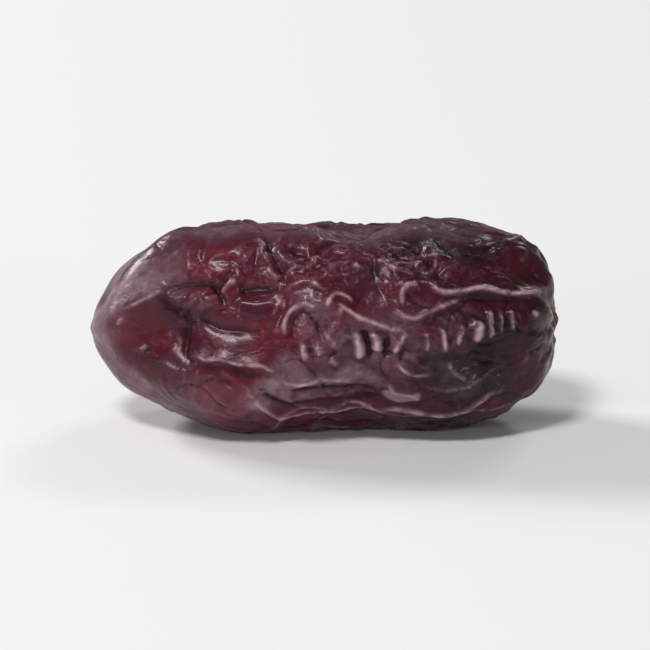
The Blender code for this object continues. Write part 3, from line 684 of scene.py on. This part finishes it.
def broad_form(skin):
    """The slow swelling and sinking of the whole fruit."""
    swelling = SWELLING_HEIGHT * waves(skin, *SWELLING)[0] * smooth(0.0, SWELLING_FROM_APEX, skin.arc)
    lumps = LUMP_HEIGHT * waves(skin, *LUMPS)[0]
    return swelling + lumps * smooth(*LUMPS_FROM_APEX, skin.arc) * smooth(*LUMPS_FROM_STALK, skin.to_stalk)


def pleats(skin):
    """Pinched pleats along the fruit with a valley to each side, and shorter ones across."""
    moved = warped(skin, *PLEAT_WANDER)
    long_gap = thread_distance(moved, *LONG_PLEATS) / LONG_PLEAT[1]
    across_gap = thread_distance(moved, *ACROSS_PLEATS) / ACROSS_PLEAT[1]
    valley = LONG_PLEAT_VALLEY[0] * np.exp(-((long_gap / LONG_PLEAT_VALLEY[1]) ** 2))
    long_pleats = (LONG_PLEAT[0] * np.exp(-long_gap) - valley) * patches(skin, *LONG_PLEAT_PATCHES)
    across_pleats = ACROSS_PLEAT[0] * np.exp(-across_gap) * patches(skin, *ACROSS_PLEAT_PATCHES)
    return (long_pleats + across_pleats) * wrinkled(skin)


def cell_gaps(skin, count, seed, sizes, stretch, reach):
    """Distance to the nearest and the second nearest of so many seeded places, drawn out along the fruit."""
    draw = np.random.default_rng(seed)
    nearest = np.full(len(skin.arc), FAR)
    second = nearest.copy()
    for _ in range(count):
        arc = draw.uniform(APEX_SMOOTH, SKIN_LENGTH)
        angle = draw.uniform(0.0, 2.0 * math.pi)
        size = draw.uniform(*sizes)
        near = np.flatnonzero(np.abs(skin.arc - arc) < reach)
        off_round = half_turns(skin.angle[near] - angle) * skin.radius[near]
        gap = np.hypot((skin.arc[near] - arc) / stretch, off_round) / size
        second[near] = np.minimum(second[near], np.maximum(nearest[near], gap))
        nearest[near] = np.minimum(nearest[near], gap)
    return nearest, second


def blisters(skin):
    """Loose skin between the folds: drawn-out cushions with creases where they meet."""
    moved = warped(skin, *BLISTER_WANDER)
    nearest, second = cell_gaps(moved, BLISTERS, BLISTER_SEED, BLISTER_SIZES, BLISTER_STRETCH, SKIN_LENGTH)
    crease = np.exp((nearest - second) / BLISTER_CREASE)
    share = BLISTER_LEAST + (1.0 - BLISTER_LEAST) * patches(skin, *BLISTER_PATCHES)
    return BLISTER_DEPTH * (BLISTER_SWELL - crease) * share * wrinkled(skin)


def fold(skin, width, places):
    """Points near the curve through the places, and the strength there of a fold of this half width."""
    near, gap, along = line_distance(skin, places, FOLD_REACH * FLANK_WIDTH)
    grown = np.clip(np.minimum(along, 1.0 - along) / FOLD_END_SHARE, 0.0, 1.0) ** FOLD_END_CURVE
    line = np.exp(-np.hypot(gap, FOLD_ROUNDING * width) / width + FOLD_ROUNDING)
    flanks = np.exp(-np.hypot(gap, FOLD_ROUNDING * FLANK_WIDTH) / FLANK_WIDTH + FOLD_ROUNDING)
    section = (1.0 - FLANK_SHARE) * line + FLANK_SHARE * flanks
    return near, section * (FOLD_END_HEIGHT + (1.0 - FOLD_END_HEIGHT) * grown)


def cross_ridge(skin, width, places):
    """Points near a rounded ridge of this half width, and its strength there."""
    near, gap, along = line_distance(skin, places, FOLD_REACH * width)
    grown = smooth(0.0, CROSS_END_SHARE, along + CROSS_END_CUT)
    ends = grown * smooth(0.0, CROSS_END_SHARE, 1.0 + CROSS_END_CUT - along)
    return near, np.exp(-((gap / width) ** 2)) * ends


def bulge(skin, halves, places):
    """All points, and the strength there of a dent or swelling of this half length and half width."""
    return slice(None), oval(skin, places[0], *halves, FORM_EDGE)


def fold_sets(skin, listed):
    """Each listed thing's skin, height share, facts and places, and again behind, beyond the smooth apex."""
    for turn, flip, shift, share, wander, seed in FOLD_SETS:
        moved = warped(skin, wander, seed)
        first = 0.0 if turn == 0.0 else APEX_SMOOTH
        for *facts, spots in listed:
            if spots[0][0] >= first:
                yield moved, share, facts, [place(spot, turn, flip, shift) for spot in spots]


def placed_folds(skin):
    """The listed folds and bulges, and again on the sides that the list doesn't reach."""
    listed = [(fold, half_width, -depth, spots) for half_width, depth, spots in CREASES]
    listed += [(fold, *ridge) for ridge in RIDGES]
    listed += [(cross_ridge, *ridge) for ridge in CROSS_RIDGES]
    listed += [(bulge, halves, rise, [middle]) for middle, *halves, rise in BULGES]
    height = np.zeros(len(skin.arc))
    for moved, share, (section, size, rise), places in fold_sets(skin, listed):
        near, strength = section(moved, size, places)
        height[near] += share * rise * strength
    return height


def stalk_end(skin):
    """The hollow with the stalk's scar: a low rim, a pit in the middle, and puckers round it."""
    out = skin.to_stalk
    hollow = -HOLLOW_DEPTH * np.exp(-((out / HOLLOW_RADIUS) ** 2))
    rim = SCAR_RIM * np.exp(-(((out - SCAR_RADIUS) / SCAR_RIM_WIDTH) ** 2))
    inner, outer = PIT_WALL
    pit = -PIT_DEPTH * (1.0 - smooth(inner * PIT_RADIUS, outer * PIT_RADIUS, out))
    reach = smooth(*PUCKER_REACH[:2], out) * (1.0 - smooth(*PUCKER_REACH[2:], out))
    uneven, times, start = PUCKER_SPREAD
    turned = PUCKERS * skin.angle + uneven * np.sin(times * skin.angle + start)
    return hollow + rim + pit + PUCKER_HEIGHT * np.cos(turned) * reach


def apex_tip(skin):
    """The small nib that ends the fruit, in a slight ring-shaped dip, and the skin drawn in round both."""
    nib = NIB_HEIGHT * np.exp(-((skin.arc / NIB_RADIUS) ** 2))
    dip = NIB_DIP * np.exp(-((skin.arc / NIB_DIP_RADIUS) ** 2))
    middle, half_width, depth = DRAWN_IN
    return nib - dip - depth * np.exp(-(((skin.arc - middle) / half_width) ** 2))


def raised(skin, height):
    """Points in millimetres of the fruit, its skin raised by height, its tip drooping, its stalk end up."""
    along = np.interp(skin.arc, ARC_STEPS, np.gradient(X_STEPS, ARC_STEPS))
    outward = np.interp(skin.arc, ARC_STEPS, np.gradient(RADIUS_STEPS, ARC_STEPS))
    size = np.hypot(along, outward)
    radius = skin.radius + height * along / size
    x = skin.x - height * outward / size
    share = 2.0 * skin.x / LENGTH - 1.0
    bend = STALK_LIFT * smooth(*LIFT_SPAN, share) - TIP_DROOP * smooth(*DROOP_SPAN, share)
    y = -WIDTH_SHARE * radius * np.cos(skin.angle)
    z = radius * np.sin(skin.angle) + bend
    return np.stack([x - LENGTH / 2.0, y, z], axis=1)


def rested(points):
    """The same points with the belly pressed flat where it lies on the table, which is height 0."""
    over = points[:, 2] + RADIUS - REST_CUT
    eased = np.clip(over + REST_EASE, 0.0, None) ** 2 / (4.0 * REST_EASE)
    lifted = points.copy()
    lifted[:, 2] = np.where(over < REST_EASE, eased, over)
    return lifted


def wrapped_cube():
    """A mesh of quads all over a cube, six square grids with the four long ones split finer along X."""
    mesh = bpy.data.meshes.new("fine_skin")
    shape = bmesh.new()
    bmesh.ops.create_cube(shape, size=2.0)
    bmesh.ops.subdivide_edges(shape, edges=shape.edges[:], cuts=CELLS - 1, use_grid_fill=True)
    along = [edge for edge in shape.edges if abs(edge.verts[0].co.x - edge.verts[1].co.x) > NEXT_TO]
    bmesh.ops.subdivide_edges(shape, edges=along, cuts=CELLS_ALONG - 1, use_grid_fill=True)
    bmesh.ops.recalc_face_normals(shape, faces=shape.faces)
    shape.to_mesh(mesh)
    shape.free()
    return mesh


def coordinates(mesh):
    """The mesh's points, one row each."""
    values = np.empty(len(mesh.vertices) * 3)
    mesh.vertices.foreach_get("co", values)
    return values.reshape(-1, 3)


def skin_of(cube):
    """The place on the skin of each point of the cube: round the axis by its side, along it by X."""
    x, y, z = cube[:, 0], cube[:, 1], cube[:, 2]
    out = np.maximum(np.abs(y), np.abs(z))
    safe = np.maximum(out, TINY)
    cap = CAP_ARC * (1.0 + CORNER_REACH * (np.minimum(np.abs(y), np.abs(z)) / safe) ** 2)
    front_or_back = np.where(y < 0, 0.0, math.pi) - np.sign(y) * (math.pi / 4.0) * z / safe
    top_or_bottom = np.sign(z) * (math.pi / 2.0 + (math.pi / 4.0) * y / safe)
    angle = np.where(np.abs(y) >= np.abs(z), front_or_back, top_or_bottom)
    arc = cap + (x + 1.0) / 2.0 * (SKIN_LENGTH - 2.0 * cap)
    arc = np.where((x < -1.0 + NEXT_TO) & (out < 1.0), cap * out, arc)
    arc = np.where((x > 1.0 - NEXT_TO) & (out < 1.0), SKIN_LENGTH - cap * out**STALK_CAP_CURVE, arc)
    return Skin(arc, angle)


def fine_wrinkles(skin):
    """Hair-thin wrinkles along the fruit and across it, between the folds."""
    moved = warped(skin, *FINE_WANDER)
    height, width = FINE_WRINKLE
    long_wrinkles = np.exp(-thread_distance(moved, *FINE_LONG) / width)
    across_wrinkles = np.exp(-thread_distance(moved, *FINE_ACROSS) / width)
    share = patches(skin, *FINE_PATCHES) * wrinkled(skin)
    return height * (long_wrinkles + FINE_ACROSS_SHARE * across_wrinkles) * share


def crumpled(skin):
    """How crumpled the skin is: 0 to 1 in the listed areas, and in patches behind."""
    behind = hidden(skin) * wrinkled(skin) * patches(skin, *CRUMPLE_PATCHES)
    return np.maximum(areas(skin, CRUMPLE_AREAS), behind)


def crumples(skin):
    """Small sagging facets with sharp ridges where they meet."""
    nearest, second = cell_gaps(warped(skin, *CRUMPLE_WANDER), *CRUMPLES)
    height, width = CRUMPLE_RIDGE
    share = CRUMPLE_LEAST + (1.0 - CRUMPLE_LEAST) * patches(skin, *CRUMPLE_SHARE)
    ridges = np.exp((nearest - second) / width) * share - CRUMPLE_SAG
    return height * ridges * crumpled(skin)


def relief(skin):
    """Height of the wrinkled skin over the smooth fruit, in millimetres."""
    wrinkles = blisters(skin) + pleats(skin) + placed_folds(skin) + fine_wrinkles(skin) + crumples(skin)
    return broad_form(skin) + wrinkles + stalk_end(skin) + apex_tip(skin)


def ribs(skin):
    """0 to 1 over the cross ridges, 1 on the crest of the tallest, and along the top of each listed ridge."""
    tallest = max(rise for _, rise, _ in CROSS_RIDGES)
    listed = [(half_width, rise, 1.0, spots) for half_width, rise, spots in CROSS_RIDGES]
    listed += [(RIDGE_TOP_WIDTH, rise, RIDGE_TOP_SHARE, spots) for _, rise, spots in RIDGES]
    worn_and_highlit = np.zeros(len(skin.arc))
    for moved, share, (half_width, rise, paleness), places in fold_sets(skin, listed):
        near, strength = cross_ridge(moved, half_width, places)
        worn_and_highlit[near] = np.maximum(worn_and_highlit[near], share * paleness * strength * rise / tallest)
    return worn_and_highlit


def areas(skin, listed):
    """0 to 1 over the listed areas of the front, with wandering edges."""
    moved = warped(skin, *AREA_WANDER)
    share = np.zeros(len(skin.arc))
    for middle, *halves, strength in listed:
        share = np.maximum(share, strength * oval(moved, place(middle), *halves, AREA_EDGE))
    return share


def hidden(skin):
    """1 on the sides that the photograph doesn't show, 0 on the front."""
    return 1.0 - smooth(*FACING_AWAY, facing(skin))


def edges_of(mesh):
    """The two points of each edge, one row each."""
    ends = np.empty(len(mesh.edges) * 2, np.int32)
    mesh.edges.foreach_get("vertices", ends)
    return ends.reshape(-1, 2)


def hollowness(height, edges, passes):
    """How far each point lies below the relief round it, after so many blurring passes, in millimetres."""
    count = np.bincount(edges.ravel(), minlength=len(height))
    blurred = height.copy()
    for _ in range(passes):
        total = np.bincount(edges[:, 0], blurred[edges[:, 1]], len(height))
        total += np.bincount(edges[:, 1], blurred[edges[:, 0]], len(height))
        blurred = 0.5 * blurred + 0.5 * total / count
    return blurred - height


def marks_of(skin, height, edges):
    """What the material reads at each point of the skin, by name."""
    back = hidden(skin) * smooth(*BEHIND_FROM_APEX, skin.arc)
    toward_stalk = smooth(*STALK_DARKENING, skin.x)
    red_behind = RED_BEHIND * back * patches(skin, *RED_PATCHES) * (1.0 - toward_stalk)
    dark_behind = DARK_BEHIND * back * patches(skin, *DARK_PATCHES)
    bloom_and_sheen_behind = BLOOM_AND_SHEEN_BEHIND * back * patches(skin, *BLOOM_AND_SHEEN_PATCHES)
    dark = np.maximum(areas(skin, DARK_AND_SHADED_AREAS), dark_behind)
    return {
        "crease": hollowness(height, edges, CREASE_PASSES),
        "valley": hollowness(height, edges, VALLEY_PASSES),
        "dip": hollowness(height, edges, DIP_PASSES),
        "crumpled": crumpled(skin),
        "rib": ribs(skin),
        "red": np.maximum(areas(skin, RED_AREAS), red_behind),
        "dark": np.maximum(dark, STALK_DARKNESS * toward_stalk),
        "haze": np.maximum(areas(skin, BLOOM_AND_SHEEN_AREAS), bloom_and_sheen_behind),
        "pale": areas(skin, PALE_HIGHLIGHT_AREAS),
        "to_stalk": skin.to_stalk,
        "from_apex": skin.arc,
    }


def linear(colour):
    """A screen colour, 0 to 255, as the linear colour that a shader takes."""
    shares = [value / 255.0 for value in colour]
    return tuple(s / 12.92 if s <= 0.04045 else ((s + 0.055) / 1.055) ** 2.4 for s in shares) + (1.0,)


class Graph:
    """A material's nodes, added and linked by short calls. Textures are in millimetres."""

    def __init__(self, name):
        self.material = bpy.data.materials.new(name)
        self.material.use_nodes = True
        self.tree = self.material.node_tree
        self.shader = self.tree.nodes["Principled BSDF"]
        in_metres = self.node("ShaderNodeTexCoord", {}).outputs["Object"]
        scaled = self.node("ShaderNodeVectorMath", {0: in_metres, "Scale": 1.0 / MM}, operation="SCALE")
        self.place = scaled.outputs[0]

    def feed(self, node, inputs):
        """Links a node's inputs to other nodes' outputs, or sets them to numbers or colours."""
        for name, value in inputs.items():
            if isinstance(value, bpy.types.NodeSocket):
                self.tree.links.new(value, node.inputs[name])
            else:
                node.inputs[name].default_value = value

    def node(self, kind, inputs, **settings):
        """A new node with these inputs, by name or number, and these settings."""
        made = self.tree.nodes.new(kind)
        for name, value in settings.items():
            setattr(made, name, value)
        self.feed(made, inputs)
        return made

    def maths(self, operation, first, second, limit=False):
        """Two values joined by this operation, kept between 0 and 1 if there is a limit."""
        inputs = {0: first, 1: second}
        return self.node("ShaderNodeMath", inputs, operation=operation, use_clamp=limit).outputs[0]

    def plus(self, first, second):
        """The sum of two values."""
        return self.maths("ADD", first, second)

    def times(self, first, second):
        """The product of two values."""
        return self.maths("MULTIPLY", first, second)

    def ease(self, value, low, high, start=0.0, end=1.0):
        """start where the value is below low, end where it is above high, eased between."""
        inputs = {"Value": value, "From Min": low, "From Max": high, "To Min": start, "To Max": end}
        return self.node("ShaderNodeMapRange", inputs, interpolation_type="SMOOTHSTEP").outputs["Result"]

    def blend(self, share, first, second):
        """The first colour, with this share of the second over it, as inputs 6 and 7 of a Mix node."""
        inputs = {"Factor": share}
        for number, colour in ((6, first), (7, second)):
            inputs[number] = linear(colour) if isinstance(colour, tuple) else colour
        return self.node("ShaderNodeMix", inputs, data_type="RGBA").outputs[2]

    def mark(self, name):
        """What is stored under this name at each point of the skin."""
        return self.node("ShaderNodeAttribute", {}, attribute_name=name).outputs["Fac"]

    def eased_mark(self, name, limits):
        """A mark, eased between these limits."""
        return self.ease(self.mark(name), *limits)

    def stretched(self, along):
        """Places with distances along the fruit made this many times shorter, so that a texture is longer."""
        inputs = {"Vector": self.place, "Scale": (1.0 / along, 1.0, 1.0)}
        return self.node("ShaderNodeMapping", inputs).outputs["Vector"]

    def noise(self, size, detail=3.0, rough=0.55, bent=0.0, along=1.0):
        """Soft noise, 0 to 1, with spots of about this size in millimetres."""
        inputs = {"Vector": self.stretched(along), "Scale": 1.0 / size}
        inputs |= {"Detail": detail, "Roughness": rough, "Distortion": bent}
        return self.node("ShaderNodeTexNoise", inputs).outputs["Fac"]

    def eased_noise(self, looks, limits):
        """Noise that looks like this, eased between these limits."""
        return self.ease(self.noise(**looks), *limits)

    def cells(self, size, along, reach):
        """Distance to the borders of cells of this size, as a share of it, with places moved by reach."""
        wave = self.node("ShaderNodeTexNoise", {"Vector": self.place, "Scale": 1.0 / size})
        inputs = {0: wave.outputs["Color"], 1: (reach, reach, reach), 2: self.stretched(along)}
        moved = self.node("ShaderNodeVectorMath", inputs, operation="MULTIPLY_ADD")
        inputs = {"Vector": moved.outputs[0], "Scale": 1.0 / size}
        return self.node("ShaderNodeTexVoronoi", inputs, feature="DISTANCE_TO_EDGE").outputs["Distance"]


def skin_colour(graph):
    """Maroon to plum in soft mottles, then layers over it: areas, some dark in painted shade; bloom with
    painted sheen; painted shade in hollows and creases; crests paler from wear and painted highlight; a
    painted highlight patch; and the ends.
    """
    blotch = graph.eased_noise(*BLOTCH)
    # The painted shade colour for hollows and creases
    crease_shade = graph.blend(graph.mark("dark"), SHADE_RED, SHADE_BLACK)
    layers = [
        (graph.times(graph.mark("red"), graph.ease(blotch, *RED_BY_BLOTCH)), RED),
        (graph.times(blotch, BLOTCH_SHARE), PLUM),
        # dark areas, partly the skin's own colour and partly painted shade
        (graph.times(graph.mark("dark"), graph.ease(blotch, *DARK_BY_BLOTCH)), INK),
        # waxy bloom with painted sheen
        (graph.times(graph.mark("haze"), graph.eased_noise(*BLOOM_AND_SHEEN_NOISE)), BLOOM_AND_SHEEN),
        # painted shade in dips and valleys
        (graph.eased_mark("dip", DIP_SHADE), crease_shade),
        (graph.eased_mark("valley", VALLEY_SHADE), crease_shade),
        # the net's lines in the crest colour, partly wear and partly painted highlight
        (graph.times(crepe_net(graph), graph.eased_mark("dark", NET_BY_DARK)), CREST_WEAR_AND_HIGHLIGHT),
        # painted shade in creases
        (graph.eased_mark("crease", CREASE_SHADE), crease_shade),
        *crest_layers(graph),
        # a painted highlight patch
        (graph.eased_mark("pale", PALE_HIGHLIGHT_SHARE), PALE_HIGHLIGHT),
        *end_layers(graph),
    ]
    colour = graph.blend(graph.eased_noise(*MOTTLE), MAROON, PLUM)
    for share, layer in layers:
        colour = graph.blend(share, colour, layer)
    return colour


def crest_layers(graph):
    """Crests paler in a broken line, partly from wear and partly as painted highlight, the sharpest the
    palest, and less so where the skin is dark.
    """
    tint = graph.blend(graph.eased_noise(*TINT), CREST_HIGHLIGHT, CREST_TAN_HIGHLIGHT)
    broken = graph.eased_noise(*WEAR_AND_HIGHLIGHT_BREAKS)
    worn_and_highlit = graph.times(graph.eased_mark("crease", WORN_AND_HIGHLIT), graph.eased_mark("dark", WORN_AND_HIGHLIT_BY_DARK))
    sharpest = graph.eased_mark("crease", SHARPEST_HIGHLIGHT)
    sharpest = graph.times(sharpest, graph.eased_mark("dark", SHARPEST_HIGHLIGHT_BY_DARK))
    # Painted highlights on crests and ribs, partly wear
    return [
        (graph.times(worn_and_highlit, broken), CREST_WEAR_AND_HIGHLIGHT),
        (graph.times(sharpest, broken), tint),
        (graph.times(graph.eased_mark("rib", RIB_HIGHLIGHT), broken), CREST_HIGHLIGHT),
    ]


def crepe_net(graph):
    """A broken net of hair-thin lines, 1 on a line, where the skin is crumpled."""
    line = graph.ease(graph.cells(**NET_CELLS), *NET_LINE)
    return graph.times(graph.times(line, graph.eased_noise(*NET_BREAKS)), graph.mark("crumpled"))


def end_layers(graph):
    """The scar with its dark pit over the stalk end's skin, and the dry nib over the apex's."""
    out = graph.plus(graph.mark("to_stalk"), graph.eased_noise(*RAGGED))
    return [
        (graph.ease(out, *SCAR_EDGE_REACH), SCAR_EDGE),
        (graph.times(graph.ease(out, *SCAR_REACH), graph.eased_noise(*SCAR_GRAIN)), SCAR),
        (graph.eased_mark("to_stalk", PIT_REACH), PIT),
        (graph.eased_mark("from_apex", NIB_REACH), NIB),
    ]


def skin_roughness(graph):
    """Glossy wax, glossier on ribs, duller in its haze, its creases and on the dry scar."""
    rough = graph.eased_noise(*GLOSS)
    rough = graph.plus(rough, graph.times(graph.mark("rib"), RIB_ROUGHNESS))
    rough = graph.plus(rough, graph.times(graph.mark("haze"), HAZE_ROUGHNESS))
    rough = graph.plus(rough, graph.eased_mark("crease", CREASE_ROUGHNESS))
    return graph.maths("ADD", rough, graph.eased_mark("to_stalk", SCAR_ROUGHNESS), limit=True)


def skin_bump(graph):
    """A net of lines, leathery grain and pores, too small for the mesh, in millimetres of height."""
    net = graph.times(crepe_net(graph), NET_HEIGHT)
    height = graph.plus(graph.plus(net, graph.eased_noise(*CREPE)), graph.eased_noise(*PORES))
    inputs = {"Strength": 1.0, "Distance": MM, "Height": height}
    return graph.node("ShaderNodeBump", inputs).outputs["Normal"]


def skin_material():
    """Waxy, wrinkled skin."""
    graph = Graph("date_skin")
    graph.feed(graph.shader, {"Base Color": skin_colour(graph), "Roughness": skin_roughness(graph)})
    graph.feed(graph.shader, {"Normal": skin_bump(graph)})
    graph.feed(graph.shader, SKIN_CONSTANTS)
    return graph.material


def softened(mesh):
    """A copy of the mesh after a few smoothing passes."""
    helper = bpy.data.objects.new("fine_skin", mesh)
    bpy.context.scene.collection.objects.link(helper)
    soften = helper.modifiers.new("soften", "SMOOTH")
    soften.factor = SOFTENING_STRENGTH
    soften.iterations = SOFTENING_PASSES
    evaluated = helper.evaluated_get(bpy.context.evaluated_depsgraph_get())
    made = bpy.data.meshes.new_from_object(evaluated)
    bpy.data.objects.remove(helper, do_unlink=True)
    bpy.data.meshes.remove(mesh)
    return made


def placed_in_box(points):
    """The same points moved along the floor, so that their box shares its middle with the CAD solid's."""
    low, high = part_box("date")
    middle = (points.min(axis=0) + points.max(axis=0)) / 2.0
    shift = np.array([(low.x + high.x) / 2.0 - middle[0], (low.y + high.y) / 2.0 - middle[1], 0.0])
    return points + shift


def build_skin():
    """The fine fruit, with what its material reads stored on its points."""
    mesh = wrapped_cube()
    skin = skin_of(coordinates(mesh))
    height = relief(skin)
    mesh.vertices.foreach_set("co", (rested(raised(skin, height)) * MM).ravel())
    mesh.update()
    mesh = softened(mesh)
    mesh.name = "date_skin"
    points = placed_in_box(coordinates(mesh))
    points[:, 2] = np.where(points[:, 2] < FLAT_WITHIN * MM, 0.0, points[:, 2])
    mesh.vertices.foreach_set("co", points.ravel())
    for name, values in marks_of(skin, height, edges_of(mesh)).items():
        mark = mesh.attributes.new(name, "FLOAT", "POINT")
        mark.data.foreach_set("value", values.astype(np.float32))
    mesh.update()
    mesh.shade_smooth()
    mesh.materials.append(skin_material())
    fruit = bpy.data.objects.new("date_skin", mesh)
    bpy.context.scene.collection.objects.link(fruit)
    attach(fruit, "root")
    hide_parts("date")


def build_floor():
    """A plain pale floor."""
    bpy.ops.mesh.primitive_plane_add(size=FLOOR_SIZE)
    floor = bpy.context.object
    floor.name = "floor"
    material = bpy.data.materials.new("floor")
    material.use_nodes = True
    shader = material.node_tree.nodes["Principled BSDF"]
    shader.inputs["Base Color"].default_value = FLOOR_COLOUR
    shader.inputs["Roughness"].default_value = FLOOR_ROUGHNESS
    floor.data.materials.append(material)


def build_surroundings():
    """Even pale light from all round."""
    world = bpy.data.worlds.new("surroundings")
    world.use_nodes = True
    background = world.node_tree.nodes["Background"]
    background.inputs["Color"].default_value = SURROUNDINGS
    background.inputs["Strength"].default_value = SURROUNDINGS_STRENGTH
    bpy.context.scene.world = world


def aimed(thing, azimuth, elevation, distance):
    """Places a light or camera round the fruit's middle, looking at it."""
    turn, rise = math.radians(azimuth), math.radians(elevation)
    away = Vector((math.sin(turn) * math.cos(rise), -math.cos(turn) * math.cos(rise), math.sin(rise)))
    holder = bpy.data.objects.new(thing.name, thing)
    holder.location = Vector((0.0, 0.0, AXIS_HEIGHT)) + away * distance
    holder.rotation_euler = away.to_track_quat("Z", "Y").to_euler()
    bpy.context.scene.collection.objects.link(holder)
    return holder


def build_softbox(name, azimuth, elevation, distance, width, height, radiance):
    """A rectangle of soft light."""
    light = bpy.data.lights.new(name, "AREA")
    light.shape = "RECTANGLE"
    light.size = width
    light.size_y = height
    light.energy = radiance * width * height * math.pi
    aimed(light, azimuth, elevation, distance)


def build_camera():
    """The camera at the photograph's angle, with a long lens."""
    camera = bpy.data.cameras.new("camera")
    camera.lens = LENS
    camera.sensor_width = SENSOR
    camera.clip_start = NEAREST_SEEN
    bpy.context.scene.camera = aimed(camera, 0.0, VIEW_TILT, VIEW_WIDTH * LENS / SENSOR)


build_skin()
build_floor()
build_surroundings()
for softbox, facts in SOFTBOXES.items():
    build_softbox(softbox, *facts)
build_camera()
bpy.context.scene.view_settings.view_transform = "Standard"
